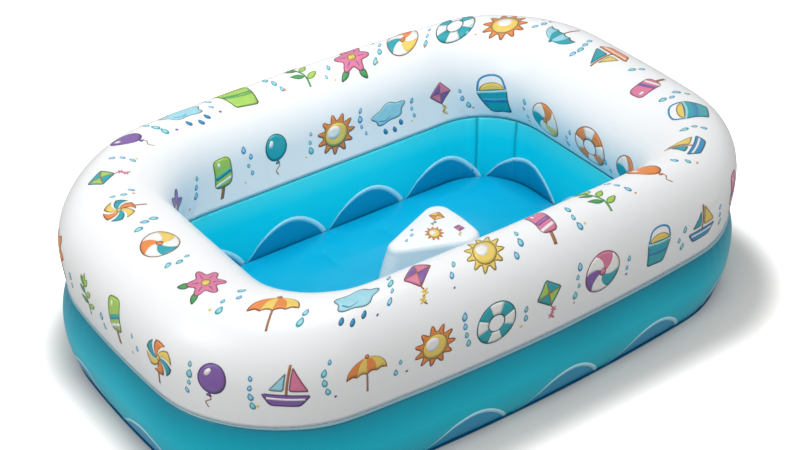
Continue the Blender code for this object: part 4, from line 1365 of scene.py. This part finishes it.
class BATH_OT_rings(bpy.types.Operator):
    """Make the white upper film, the blue outer wall and the basin wall"""
    bl_idname = "bath.rings"
    bl_label = "Ring films"

    def execute(self, context):
        scene = context.scene
        bath = Bath(scene)
        made = film("upper_ring_film", bath.upper_face(), vinyl(scene, "White vinyl"),
                    bath.holes["upper_ring"])
        join_frame(made, "bath", "white_vinyl", "upper_ring_skin")
        made = film("outer_wall_film", bath.outer_face(), vinyl(scene, "Teal vinyl"),
                    bath.holes["lower_ring"])
        join_frame(made, "bath", "teal_vinyl", "lower_ring_outer_wall")
        basin = bath.basin_face()
        lines = np.broadcast_to(bath.upright_lines(corner_places(FOLD_SHARES), 0.0019), basin.shape[:2])
        made = film("basin_wall_film", basin, vinyl(scene, "Basin vinyl"),
                    attributes=[("fold_line", "FLOAT", "value", lines)])
        join_frame(made, "bath", "cyan_vinyl", "basin_wall")
        return {"FINISHED"}


class BATH_OT_seams(bpy.types.Operator):
    """Make the welds between the films, with the drooping outer lip and the dark line along the foot"""
    bl_idname = "bath.seams"
    bl_label = "Seams"

    def execute(self, context):
        scene = context.scene
        bath = Bath(scene)
        self.lip(bath, vinyl(scene, "Pale weld"))
        inner, base = (INNER_SEAM_LOW.z, INNER_SEAM_HIGH.z), (BASE_SEAM_LOW.z, BASE_SEAM_HIGH.z)
        for plan, heights, inward, name, slot_name, node_name, finish in (
                (bath.basin, inner, 0.0006, "inner_seam_line", "cyan_vinyl", "inner_seam_weld", "Seam line"),
                (bath.foot, base, -FOOT_LIP, "foot_seam", "teal_vinyl", "base_seam_weld", "Foot weld"),
                (bath.basin, base, 0.004, "floor_seam", "cyan_vinyl", "floor_seam_weld", "Cyan vinyl")):
            rows = self.flat_weld(plan, *heights, inward)
            join_frame(hoop(name, rows, vinyl(scene, finish)), "bath", slot_name, node_name)
        return {"FINISHED"}

    def lip(self, bath, material):
        """The outer seam's lip: it thins and droops unevenly to its edge, and is narrow at the left end."""
        around, flat = running(bath.seam), np.zeros(1)
        wave, small = ripple(around, flat, 0.09, seed=31)[0], ripple(around, flat, 0.026, seed=32)[0]
        narrowing = 1 - 0.50 * smooth_step(0.25, 0.40, -bath.seam[:, 0])
        droop = LIP_DROOP * narrowing * (1 + 0.20 * wave + 0.14 * small)
        reach = LIP_REACH * narrowing * (1 + 0.10 * wave - 0.06 * small)
        middle, half = bath.seam_middle, SEAM_THICKNESS / 2
        sides = {1: [], -1: []}
        for step in np.linspace(0, 1, 7):
            plan, fall = grown(bath.seam, reach * step), droop * step ** 1.6
            for side, rows in sides.items():
                rows.append(level(plan, middle + side * half * (1 - 0.45 * step) - fall))
        edge = level(grown(bath.seam, reach + 0.0003), middle - droop * 1.03)
        root = grown(bath.seam, -SEAM_ROOT)
        rows = [level(root, middle + half), *sides[1], edge, *reversed(sides[-1]), level(root, middle - half)]
        join_frame(hoop("outer_seam_lip", rows, material), "bath", "pale_weld", "outer_seam_weld")

    def flat_weld(self, plan, low, high, inward):
        """A flat band whose lip reaches inward of a plan, or outward if negative, with a round edge."""
        side = 1 if inward > 0 else -1
        root = grown(plan, SEAM_ROOT * side)
        middle, half = (low + high) / 2, (high - low) / 2
        angles = np.linspace(math.pi / 2, -math.pi / 2, 5)
        edge = [level(grown(plan, side * half * (1 - math.cos(angle)) - inward),
                      middle + half * math.sin(angle)) for angle in angles]
        return [level(root, high), *edge, level(root, low)]


class BATH_OT_floor(bpy.types.Operator):
    """Make the cushioned floor and the sheet that the bath lies on"""
    bl_idname = "bath.floor"
    bl_label = "Floor"

    def execute(self, context):
        scene = context.scene
        bath = Bath(scene)
        made = film("floor_film", bath.floor_face(), vinyl(scene, "Cyan vinyl"), bath.holes["drain"], True)
        join_frame(made, "bath", "cyan_vinyl", "floor_sheet")
        share = np.linspace(0, 1, 24)[:-1]
        edge = grown(bath.foot, FOOT_LIP)
        face = between(edge, np.zeros_like(edge), share, np.full(len(share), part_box("base_sheet")[1].z))
        made = film("base_film", face, vinyl(scene, "Foot weld"), bath.holes["drain"], True)
        join_frame(made, "bath", "cyan_vinyl", "base_sheet")
        return {"FINISHED"}


class BATH_OT_inner_sheets(bpy.types.Operator):
    """Make the sheets inside the rings and the floor: the divider, the tie webs and the floor's ties"""
    bl_idname = "bath.inner_sheets"
    bl_label = "Inner sheets"

    def execute(self, context):
        bath = Bath(context.scene)
        material = vinyl(context.scene, "Sheet vinyl")
        inner_middle = (INNER_SEAM_HIGH.z + INNER_SEAM_LOW.z) / 2
        outer_edge, inner_edge = grown(bath.seam, -SEAM_ROOT - GAP), grown(bath.basin, SEAM_ROOT + GAP)
        share = np.linspace(0, 1, 26)
        heights = bath.seam_middle + (inner_middle - bath.seam_middle) * share + FILM / 2
        face = between(outer_edge, inner_edge, share, heights)
        sag = 0.0010 * ripple(running(bath.seam), share * 0.14, 0.11, seed=41)
        face[:, :, 2] += sag * (np.sin(math.pi * share) ** 0.5)[:, None]
        join_frame(film("divider_film", face, material), "bath", "clear_vinyl", "chamber_divider")
        walls = bath.basin_face(), bath.outer_face()
        for number, place in enumerate(corner_places(), 1):
            made = film(f"tie_web_film_{number}", self.web(bath, walls, place, number), material, offset=0)
            join_frame(made, "bath", "clear_vinyl", f"tie_web_{number}")
        for number in range(1, 5):
            self.floor_tie(number, material)
        return {"FINISHED"}

    def web(self, bath, walls, place, number):
        """One tie web: an upright flat film between both walls, with a round hole at the belly's height.

        Its points lie on rings between the hole's circle and the web's own outline.
        """
        start, end = bath.basin[place], bath.lower[place]
        way = (end - start) / np.linalg.norm(end - start)
        low, high = (corner.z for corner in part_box(f"tie_web_{number}"))
        heights = np.linspace(low, high, 34)
        near, far = (self.reach_of(wall, start, way, place, heights) for wall in walls)
        near, far = near + FILM + GAP, far - FILM - GAP
        edge = np.concatenate([np.column_stack([far, heights]), np.column_stack([near, heights])[::-1]])
        edge = resampled(edge, 96)
        belly = bath.rings.belly_height
        centre = np.array([np.interp(belly, heights, (near + far) / 2), belly])
        angles = np.unwrap(np.arctan2(*(edge - centre).T[::-1]))
        hole = centre + WEB_HOLE * np.column_stack([np.cos(angles), np.sin(angles)])
        flat = hole + (edge - hole) * np.linspace(0, 1, 12)[:, None, None]
        return np.concatenate([start + flat[..., :1] * way, flat[..., 1:]], axis=-1)

    def reach_of(self, face, start, way, place, heights):
        """How far along a web's plane a wall is met, at each height."""
        near = face[:, (place + np.arange(-24, 25)) % PLACES, :2] - start
        off, along = near @ np.array([way[1], -way[0]]), near @ way
        turn = np.sign(off[0, -1] - off[0, 0])
        met = np.array([np.interp(0, turn * row, reach) for row, reach in zip(off, along)])
        levels = face[:, place, 2]
        order = np.argsort(levels)
        return np.interp(heights, levels[order], met[order])

    def floor_tie(self, number, material):
        """One tie of the floor: an upright strip, a little slack, with its corners rounded."""
        low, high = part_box(f"floor_tie_{number}")
        share = np.linspace(-1, 1, 49)
        drop = (1 - smooth_step(0.0, 0.02, 1 - np.abs(share))) * (high.z - low.z) * 0.3
        flat = np.column_stack([(low.x + high.x) / 2 + 0.0003 * np.sin(share * 19 + number),
                                (low.y + high.y) / 2 + share * (high.y - low.y) / 2])
        bottom, top = level(flat, low.z), level(flat, high.z - drop)
        face = np.stack([bottom, (top + bottom) / 2, top])
        cells = grid_cells(3, len(share), closed=False)
        made = make_object(f"floor_tie_film_{number}", face, [cells], material)
        join_frame(thicken(made, offset=0), "bath", "clear_vinyl", f"floor_tie_{number}")


class BATH_OT_horn(bpy.types.Operator):
    """Make the saddle horn and the weld round its foot"""
    bl_idname = "bath.horn"
    bl_label = "Horn"

    def execute(self, context):
        bath = Bath(context.scene)
        material = vinyl(context.scene, "White vinyl")
        face = horn_face(bath)
        made = film("horn_film", face, material, bath.holes["horn"], True)
        join_frame(made, "bath", "white_vinyl", "horn_skin")
        low, high = (corner.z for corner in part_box("horn_seam_weld"))
        half, middle = (high - low) / 2, (low + high) / 2
        foot = face[0, :, :2]
        lip = 0.005 + 0.0004 * np.cos(np.arange(len(foot)) * 0.9)
        reaches = (-SEAM_ROOT, *(lip * step for step in (0.0, 0.35, 0.7, 0.95, 1.0)))
        plans = [grown(foot, reach) for reach in reaches]
        thins = (1.0, 1.0, 0.9, 0.8, 0.55, 0.0)
        rows = [level(plan, middle + half * thin) for plan, thin in zip(plans, thins)]
        rows += [level(plan, middle - half * thin) for plan, thin in zip(plans[-2::-1], thins[-2::-1])]
        join_frame(hoop("horn_foot_seam", rows, material), "bath", "white_vinyl", "horn_seam_weld")
        return {"FINISHED"}


def stopper_rows(seat, pivot, rim_top, bore, cap_radius, cap_thickness, plug_length, strap_width, tab_reach):
    """Rows of a stopper: its plug's tip, up the plug, out under the cap, over its edge and to the middle.

    The cap's outline is a circle with a strap to the hinge on one side and a pull tab on the other. The
    plug's rows keep the outline's own angles, so all rows stay square to it. The plug's tip is drawn in so
    that its far edge stays inside the bore as it swings out.
    """
    half = strap_width / 2
    turn = math.asin(half / cap_radius) / FULL_TURN
    side, other = arc(cap_radius, turn, 0.5 - turn, 26), arc(cap_radius, 0.5 + turn, 1 - turn, 26)
    tab = [(-cap_radius - tab_reach, half), (-cap_radius - tab_reach, -half)]
    edge = np.concatenate([side, filleted_run(side[-1], tab, other[0], half * 0.6), other,
                           filleted_run(other[-1], [(pivot, -half), (pivot, half)], side[0], half * 0.25)])
    ring = edge / np.linalg.norm(edge, axis=1)[:, None]
    base = rim_top + GAP
    tip, top = base - plug_length, base + cap_thickness
    tip_radius = math.sqrt((pivot + bore) ** 2 - (tip - rim_top - GAP / 2) ** 2) - pivot - GAP
    soft = cap_thickness * 0.3
    rows = [
        (ring * tip_radius * 0.55, tip + soft), (ring * tip_radius * 0.72, tip),
        (ring * (tip_radius - soft), tip),
        (ring * tip_radius, tip + soft), (ring * (bore - GAP), base - soft), (ring * (bore - GAP), base),
        (edge * 0.97, base), (edge, base + soft), (edge, top - soft), (edge * 0.975, top - soft * 0.3),
        (edge * 0.94, top), (ring * cap_radius * 0.74, top), (ring * cap_radius * 0.70, top - soft * 0.8),
        (ring * cap_radius * 0.56, top - soft * 0.8), (ring * cap_radius * 0.50, top),
        (ring * cap_radius * 0.2, top),
    ]
    return seat.placed([level(flat, height) for flat, height in rows])


class BATH_OT_valves(bpy.types.Operator):
    """Make the three sunk air valves, each with its dish, stem, check flap and stopper"""
    bl_idname = "bath.valves"
    bl_label = "Air valves"

    def execute(self, context):
        bath = Bath(context.scene)
        material = vinyl(context.scene, "Clear vinyl")
        parts = bath.fittings
        levels = bath.valve_levels()
        for prefix in ("upper_ring", "lower_ring", "horn"):
            seat = bath.seats[prefix]
            made = hoop(f"{prefix}_dish", turned_rows(self.dish(parts, levels), seat), material)
            join_frame(made, "bath", "clear_vinyl", f"{prefix}_valve_dish")
            made = hoop(f"{prefix}_stem", turned_rows(self.stem(parts, levels), seat), material)
            join_frame(made, f"{prefix}_stem", "clear_vinyl", f"{prefix}_valve_stem")
            made = closed_rows(f"{prefix}_flap", seat.placed(self.flap(parts, levels)), material)
            join_frame(made, f"{prefix}_flap", "clear_vinyl", f"{prefix}_valve_flap")
            rows = stopper_rows(seat, parts.rim_radius + GAP, levels[3], parts.bore_radius, parts.cap_radius,
                                parts.cap_thickness, parts.plug_length, parts.strap_width, parts.tab_reach)
            made = closed_rows(f"{prefix}_stopper", rows, material)
            join_frame(made, f"{prefix}_stopper", "clear_vinyl", f"{prefix}_valve_stopper")
        return {"FINISHED"}

    def dish(self, parts, levels):
        """Profile of the dish: flange, side with soft rings in it, floor and a collar round the stem."""
        top, floor = levels[:2]
        collar = parts.stem_radius + GAP
        under, foot = floor - parts.wall, floor - parts.collar
        share = np.linspace(0.12, 0.88, 14)
        rings = 0.00022 * np.sin(share * FULL_TURN * 3)
        slope = parts.mouth_radius - parts.floor_radius
        inner = np.column_stack([parts.mouth_radius - slope * share + rings, top - parts.depth * share])
        rim = filleted([(parts.flange_radius, top), (parts.mouth_radius, top), (parts.floor_radius, floor),
                        (parts.flange_radius, floor)])[:8]
        return np.concatenate([
            rim, inner,
            [(collar, floor), (collar, foot), (collar + parts.wall, foot), (collar + parts.wall, under),
             (parts.floor_radius + parts.wall, under)],
            inner[::-1] + (parts.wall * 0.95, -0.00012),
            [(parts.mouth_radius + parts.wall, UNDERSIDE), (parts.flange_radius, UNDERSIDE)],
        ])

    def stem(self, parts, levels):
        """Profile of the stem: a tube with a rim at its outer end and a bead at its inner one."""
        rim_low, rim_top, end = levels[2:]
        return filleted([
            (parts.bore_radius, rim_top), (parts.bore_radius, end), (parts.bead_radius, end),
            (parts.bead_radius, end + parts.bead_length), (parts.stem_radius, end + parts.bead_length),
            (parts.stem_radius, rim_low), (parts.rim_radius, rim_low), (parts.rim_radius, rim_top),
        ])

    def flap(self, parts, levels):
        """Rows of the check flap under the stem's inner end: a thin disc with a hinge tab."""
        radius, half = (parts.bore_radius + parts.stem_radius) / 2, parts.flap_tab / 2
        turn = math.asin(half / radius) / FULL_TURN
        rim = arc(radius, turn, 1 - turn, 60)
        tab = filleted_run(rim[-1], [(parts.stem_radius, -half), (parts.stem_radius, half)], rim[0])
        edge = np.concatenate([rim, tab])
        high, low = levels[4] - GAP, levels[4] - GAP - FILM
        shares = ((0.3, low), (0.7, low), (0.97, low), (1.0, (low + high) / 2), (0.97, high), (0.7, high),
                  (0.3, high))
        return [level(edge * share, height) for share, height in shares]


class BATH_OT_drain(bpy.types.Operator):
    """Make the drain's seat through the floor and its plug on a strap"""
    bl_idname = "bath.drain"
    bl_label = "Drain"

    def execute(self, context):
        bath = Bath(context.scene)
        material = vinyl(context.scene, "Clear vinyl")
        parts, seat = bath.fittings, bath.seats["drain"]
        top = GAP + parts.drain_flange_thickness
        foot = GAP - bath.floor.height
        tube = parts.drain_bore + parts.drain_wall
        profile = filleted([
            (parts.drain_flange, top), (parts.drain_bore, top), (parts.drain_bore, foot), (tube, foot),
            (tube, UNDERSIDE), (parts.drain_flange, UNDERSIDE),
        ], 0.0005)
        made = hoop("drain_collar", turned_rows(profile, seat), material)
        join_frame(made, "bath", "clear_vinyl", "drain_seat")
        rows = stopper_rows(seat, parts.drain_flange + GAP, top, parts.drain_bore, parts.drain_cap,
                            parts.drain_cap_thickness, parts.drain_plug_length, parts.drain_strap,
                            parts.drain_tab)
        join_frame(closed_rows("drain_stopper", rows, material), "drain_plug", "clear_vinyl", "drain_plug")
        return {"FINISHED"}


class BATH_OT_waves(bpy.types.Operator):
    """Print the waves along the outer wall and round the basin"""
    bl_idname = "bath.waves"
    bl_label = "Waves"

    def execute(self, context):
        scene = context.scene
        bath = Bath(scene)
        self.row(scene, "outside", "outer", Face(bath.outer_face()), running(bath.lower), 1)
        self.row(scene, "inside", "inner", Face(bath.basin_face()), running(bath.basin), -1)
        return {"FINISHED"}

    def row(self, scene, name, side, face, around, way):
        """All waves along one wall, which run with the places or against them."""
        count, start, *sizes = (getattr(scene.bath_waves, f"{side}_{size}") for size in
                                ("count", "start", "length", "height", "line", "lean", "softness"))
        line, fill = self.wave(*sizes)
        starts = start + np.arange(count) * around[-1] / count
        inks = ("lines", line, LINE_LIFT, "Wave line"), ("fills", fill, FILL_LIFT, "Wave fill")
        for label, flat, lift, finish in inks:
            points = np.array([self.laid(face, around, first, way, flat, lift) for first in starts])
            cells = grid_cells(*flat.shape[:2], closed=False)
            steps = np.arange(count)[:, None, None] * flat[..., 0].size
            cells = (cells + steps).reshape(-1, 4)
            made = make_object(f"wave_{label}_{name}", points, [cells], vinyl(scene, finish))
            join_frame(thicken(made, INK, 1), "bath", None)

    def wave(self, long_side, high_side, width, lean, softness):
        """One wave's line and its fill, as grids of points given along the wall and up it.

        Its crest is the sine of a half turn, taken at the way along to the power of its lean and then itself
        to the power 0.75, with a soft start: a full round top that falls faster than it rises. The line is
        square to the crest and is cut off at the foot.
        """
        share = np.linspace(0, 1, 400)
        top = np.maximum(np.sin(math.pi * share ** lean), 0) ** 0.75 * smooth_step(-0.12, softness, share)
        rough = np.column_stack([share * long_side, high_side * top])
        steps = running(rough, closed=False)
        even = np.linspace(0, steps[-1], 68)
        crest = np.column_stack([np.interp(even, steps, rough[:, axis]) for axis in (0, 1)])
        along = np.gradient(crest, axis=0)
        along /= np.linalg.norm(along, axis=1)[:, None]
        side = np.column_stack([-along[:, 1], along[:, 0]])
        half = width / 2 * (0.16 + 0.84 * smooth_step(0, 0.55, np.linspace(0, 1, len(crest))))
        line = crest + np.array([-1, 0, 1])[:, None, None] * half[:, None] * side
        foot = 0.0008
        line[:, :, 1] = np.maximum(line[:, :, 1], foot)
        return line, np.stack([crest * (1, share) + (0, foot) for share in np.linspace(0, 1, 12)])

    def laid(self, face, around, first, way, flat, lift):
        """A grid of points along a wall and up it, put on the film."""
        places = np.interp((first + way * flat[..., 0]) % around[-1], around, np.arange(len(around)))
        up = face.up.mean(axis=1)
        heights = flat[..., 1] if way > 0 else up[-1] - flat[..., 1]
        return face.at(np.interp(heights, up, np.arange(face.levels)), places, lift)


class RingPrint:
    """The rows of motifs round the upper ring, with drops and specks between them."""

    def __init__(self, scene):
        bath = Bath(scene)
        self.sizes = scene.bath_print
        self.valve = bath.seats["upper_ring"].middle
        self.random = np.random.default_rng(self.sizes.seed)
        self.face = Face(bath.upper_face())
        self.printer = Printer(scene)
        self.far_side = bath.upper @ FAR_WAY
        self.far_side /= np.abs(self.far_side).max()

    def build(self):
        """The outer, crown and inner rows: upright outside, and turned round where they face inwards."""
        sizes, up = self.sizes, self.face.up
        crown, last = WALL_LEVELS + CROWN_LEVELS // 2, self.face.levels - 1
        crown_heights = up[crown] + sizes.crown_row + sizes.crown_lean * self.far_side
        share = np.arange(PLACES) / PLACES
        rows = (
            # heights up the section, level used to space the row, places where it faces inwards
            (np.full(PLACES, sizes.outer_row), self.face.level_of(sizes.outer_row, 0),
             np.zeros(PLACES, bool)),
            (crown_heights, crown, (share > TURNED_FROM) & (share < TURNED_TO)),
            (up[last] - sizes.inner_row, last - WALL_LEVELS, np.ones(PLACES, bool)),
        )
        for number, (heights, spacing_level, turned) in enumerate(rows):
            self.row(number, heights, spacing_level, turned)
        self.printer.pieces("print")

    def row(self, row, heights, spacing_level, turned):
        """One row of motifs, evenly spaced but for a little chance."""
        random, sizes = self.random, self.sizes
        whole = self.face.around[round(spacing_level), -1]
        count = round(whole / sizes.spacing)
        for number, kind in enumerate(self.order(count)):
            distance = (number + 0.35 * row + random.uniform(-0.10, 0.10)) * whole / count
            place = self.face.place_of(distance, spacing_level)
            nearest = int(place) % PLACES
            upright = math.pi if turned[nearest] else 0.0
            spot = place, heights[nearest] + random.uniform(-0.006, 0.006)
            size = sizes.size * random.uniform(0.90, 1.16)
            colouring = int(random.integers(len(MOTIFS[kind][1])))
            self.stamp(kind, colouring, size, upright + random.uniform(-0.22, 0.22), spot)
            self.fillers(spot, upright, whole / count / 2)

    def order(self, count):
        """So many kinds, shuffled in whole sets so that none follows itself."""
        kinds, names = [], list(MOTIFS)
        while len(kinds) < count:
            shuffled = [names[index] for index in self.random.permutation(len(names))]
            if kinds and shuffled[0] == kinds[-1]:
                shuffled.append(shuffled.pop(0))
            kinds += shuffled
        return kinds[:count]

    def fillers(self, spot, upright, side):
        """A bunch of drops on one side of a motif, and a speck or two."""
        random = self.random
        lean = 1 if upright else -1
        start = random.uniform(-0.010, 0.002)
        for number in range(int(random.integers(2, 5))):
            across = side + random.uniform(-0.006, 0.006)
            up = -lean * (start + number * 0.0125 - 0.012)
            size = self.sizes.drop_size * random.uniform(0.62, 1.15)
            turn = upright + random.uniform(-0.3, 0.3)
            self.stamp("drops", int(random.integers(2)), size, turn, spot, across, up)
        if random.uniform() < 0.7:
            across, up = side + random.uniform(-0.012, 0.012), lean * random.uniform(0.018, 0.026)
            size = random.uniform(0.003, 0.005)
            self.stamp("specks", int(random.integers(3)), size, 0.0, spot, across, up)

    def stamp(self, kind, colouring, size, turn, spot, across=0.0, up=0.0):
        """Print one motif so far from a spot, unless a fitting is near."""
        def lay(x, y, lift):
            return self.face.lay(*spot, x + across, y + up, lift)

        middle = lay(*np.zeros((3, 1)))[0]
        if np.linalg.norm(middle - self.valve) > KEEP_CLEAR + size * 0.6:
            self.printer.stamp(kind, colouring, size, turn, lay)


# Motifs on the horn's top: kind, colouring, size, turn and place
HORN_MARKS = (
    ("kites", 0, 0.036, -0.9, (0.056, 0.014)), ("suns", 0, 0.028, 0.0, (0.034, -0.012)),
    ("kites", 2, 0.024, -0.6, (0.066, -0.024)), ("drops", 0, 0.008, -0.9, (0.008, 0.002)),
    ("drops", 1, 0.007, -0.7, (0.016, 0.013)), ("drops", 0, 0.006, -1.1, (-0.004, -0.003)),
)


class BATH_OT_print(bpy.types.Operator):
    """Print the motifs, drops and specks on the upper ring, and a few on the horn"""
    bl_idname = "bath.print"
    bl_label = "Print"

    def execute(self, context):
        RingPrint(context.scene).build()
        self.horn(context.scene)
        return {"FINISHED"}

    def horn(self, scene):
        """Three small motifs and some drops on the horn's dome, which falls by the square of the way out."""
        horn = scene.bath_horn
        brow = grown(horn_plan(horn, horn.tip_top), -horn.shoulder)
        middle = brow.mean(axis=0)
        angles = np.arctan2(*(brow - middle).T[::-1])
        order = np.argsort(angles)
        reach = np.linalg.norm(brow - middle, axis=1)[order]
        printer = Printer(scene)
        for kind, colouring, size, turn, spot in HORN_MARKS:
            def lay(x, y, lift):
                flat = np.column_stack([x, y]) + spot
                edge = np.interp(np.arctan2(*(flat - middle).T[::-1]), angles[order], reach, period=FULL_TURN)
                out = np.linalg.norm(flat - middle, axis=1) / edge
                return np.column_stack([flat, horn.height - horn.dome * out ** 2 + lift])

            printer.stamp(kind, colouring, size, turn, lay)
        printer.pieces("horn_print")


def look_at(made, place, target):
    """Put a camera or a lamp at a place, turned to its target."""
    made.location = place
    made.rotation_euler = (Vector(target) - Vector(place)).to_track_quat("-Z", "Y").to_euler()


class BATH_OT_studio(bpy.types.Operator):
    """Make the floor, the lights, the world and the camera"""
    bl_idname = "bath.studio"
    bl_label = "Studio"

    def execute(self, context):
        scene = context.scene
        studio = scene.bath_studio
        self.ground(scene.bath_rings, studio)
        self.world(scene, studio)
        self.lamp("Overhead", (-0.30, -0.42, 2.0), (0.0, 0.0, 0.1), (1.9, 1.5), studio.key_power)
        self.lamp("Left fill", (-2.2, 0.1, 1.1), (0.0, 0.0, 0.1), (1.4, 1.0), studio.fill_power)
        self.lamp("Basin fill", (0.0, -0.20, 0.85), (0.0, 0.22, 0.13), (0.60, 0.15), studio.basin_power, 60)
        turn, climb = math.radians(studio.azimuth), math.radians(studio.elevation)
        way = Vector((math.sin(turn) * math.cos(climb), -math.cos(turn) * math.cos(climb), math.sin(climb)))
        data = bpy.data.cameras.new("Camera")
        data.lens = studio.lens
        data.shift_y = studio.rise
        scene.camera = put_in_scene("Camera", data)
        look_at(scene.camera, Vector(studio.target) + way * studio.distance, studio.target)
        scene.view_settings.view_transform = "Standard"
        return {"FINISHED"}

    def seen(self, nodes, operation):
        """One for what the camera sees straight or through clear film, nil for light on the bath."""
        camera, clear = (nodes.add("LightPath", out=f"Is {kind} Ray") for kind in ("Camera", "Transmission"))
        return nodes.add("Math", camera, clear, operation=operation, use_clamp=True)

    def ground(self, rings, studio):
        """A wide pale floor that shows white but keeps the shadow near the bath.

        The white that it shows of itself grows with the distance from the bath's plan, as a smooth step. That
        distance is the length of what a place lies outside the box of the plan's corner centres.
        """
        material = bpy.data.materials.new("Floor")
        nodes = Nodes(material)
        reach = 6.0
        half = (rings.lower_length / 2 - rings.lower_corner, rings.lower_width / 2 - rings.lower_corner,
                reach)
        outside = nodes.add("TexCoord", out="Object")
        for operation, value in (("SUBTRACT", (0.0, studio.shadow_shift, 0.0)), ("ABSOLUTE", (0.0, 0.0, 0.0)),
                                 ("SUBTRACT", half), ("MAXIMUM", (0.0, 0.0, 0.0))):
            outside = nodes.add("VectorMath", outside, value, operation=operation)
        outside = nodes.add("VectorMath", outside, operation="LENGTH", out="Value")
        edge = rings.lower_corner - rings.foot_inset
        glow = nodes.spread(outside, edge, edge + studio.shadow_reach, 0.0, 1.0,
                            interpolation_type="SMOOTHSTEP")
        seen = self.seen(nodes, "ADD")
        strength = nodes.add("Math", seen, glow, operation="MULTIPLY")
        light = nodes.add("Emission", Color=(1.0, 1.0, 1.0), Strength=strength)
        matt = nodes.add("BsdfDiffuse", Color=nodes.mixed(seen, (0.44, 0.43, 0.42), (0.64, 0.625, 0.605)))
        nodes.finish(nodes.add("AddShader", light, matt))
        corners = [(-reach, -reach, 0), (reach, -reach, 0), (reach, reach, 0), (-reach, reach, 0)]
        make_object("studio_floor", corners, [[(0, 1, 2, 3)]], material)

    def world(self, scene, studio):
        """An even world that shows white to the camera."""
        scene.world = bpy.data.worlds.new("World")
        nodes = Nodes(scene.world, "ShaderNodeOutputWorld")
        strength = nodes.spread(self.seen(nodes, "MAXIMUM"), 0.0, 1.0, studio.world_strength, 1.0)
        nodes.finish(nodes.add("Background", Color=(1.0, 1.0, 1.0), Strength=strength))

    def lamp(self, name, place, target, size, power, spread_angle=180):
        """One rectangular soft light that looks at a target, over a spread in degrees."""
        data = bpy.data.lights.new(name, "AREA")
        data.shape = "RECTANGLE"
        data.size, data.size_y = size
        data.energy = power
        data.spread = math.radians(spread_angle)
        look_at(put_in_scene(name, data), place, target)


class BATH_PT_panel(bpy.types.Panel):
    """Everything the bath is made of, in the sidebar"""
    bl_idname = "BATH_PT_panel"
    bl_label = "Inflatable Bath"
    bl_space_type = "VIEW_3D"
    bl_region_type = "UI"
    bl_category = "Bath"

    def draw(self, context):
        for group in GROUPS:
            settings = getattr(context.scene, group)
            column = self.layout.column(align=True)
            column.label(text=group.replace("_", " ").capitalize())
            for name in settings.__annotations__:
                column.prop(settings, name)
        for operator in OPERATORS:
            self.layout.operator(operator.bl_idname)


GROUPS = {f"bath_{group.__name__[4:].lower()}": group for group in
          (BathRings, BathFloor, BathHorn, BathFittings, BathColours, BathPrint, BathWaves, BathStudio)}
OPERATORS = (BATH_OT_studio, BATH_OT_rings, BATH_OT_seams, BATH_OT_floor, BATH_OT_inner_sheets, BATH_OT_horn,
             BATH_OT_valves, BATH_OT_drain, BATH_OT_waves, BATH_OT_print)


def register():
    """Register the classes and hang the settings on the scene."""
    for item in (*GROUPS.values(), *OPERATORS, BATH_PT_panel):
        bpy.utils.register_class(item)
    for name, group in GROUPS.items():
        setattr(bpy.types.Scene, name, PointerProperty(type=group))


def unregister():
    """Take the settings and the classes away again."""
    for name in GROUPS:
        delattr(bpy.types.Scene, name)
    for item in reversed((*GROUPS.values(), *OPERATORS, BATH_PT_panel)):
        bpy.utils.unregister_class(item)


def main():
    """Build everything in order."""
    register()
    for operator in OPERATORS:
        family, name = operator.bl_idname.split(".")
        getattr(getattr(bpy.ops, family), name)()


if __name__ == "__main__":
    main()
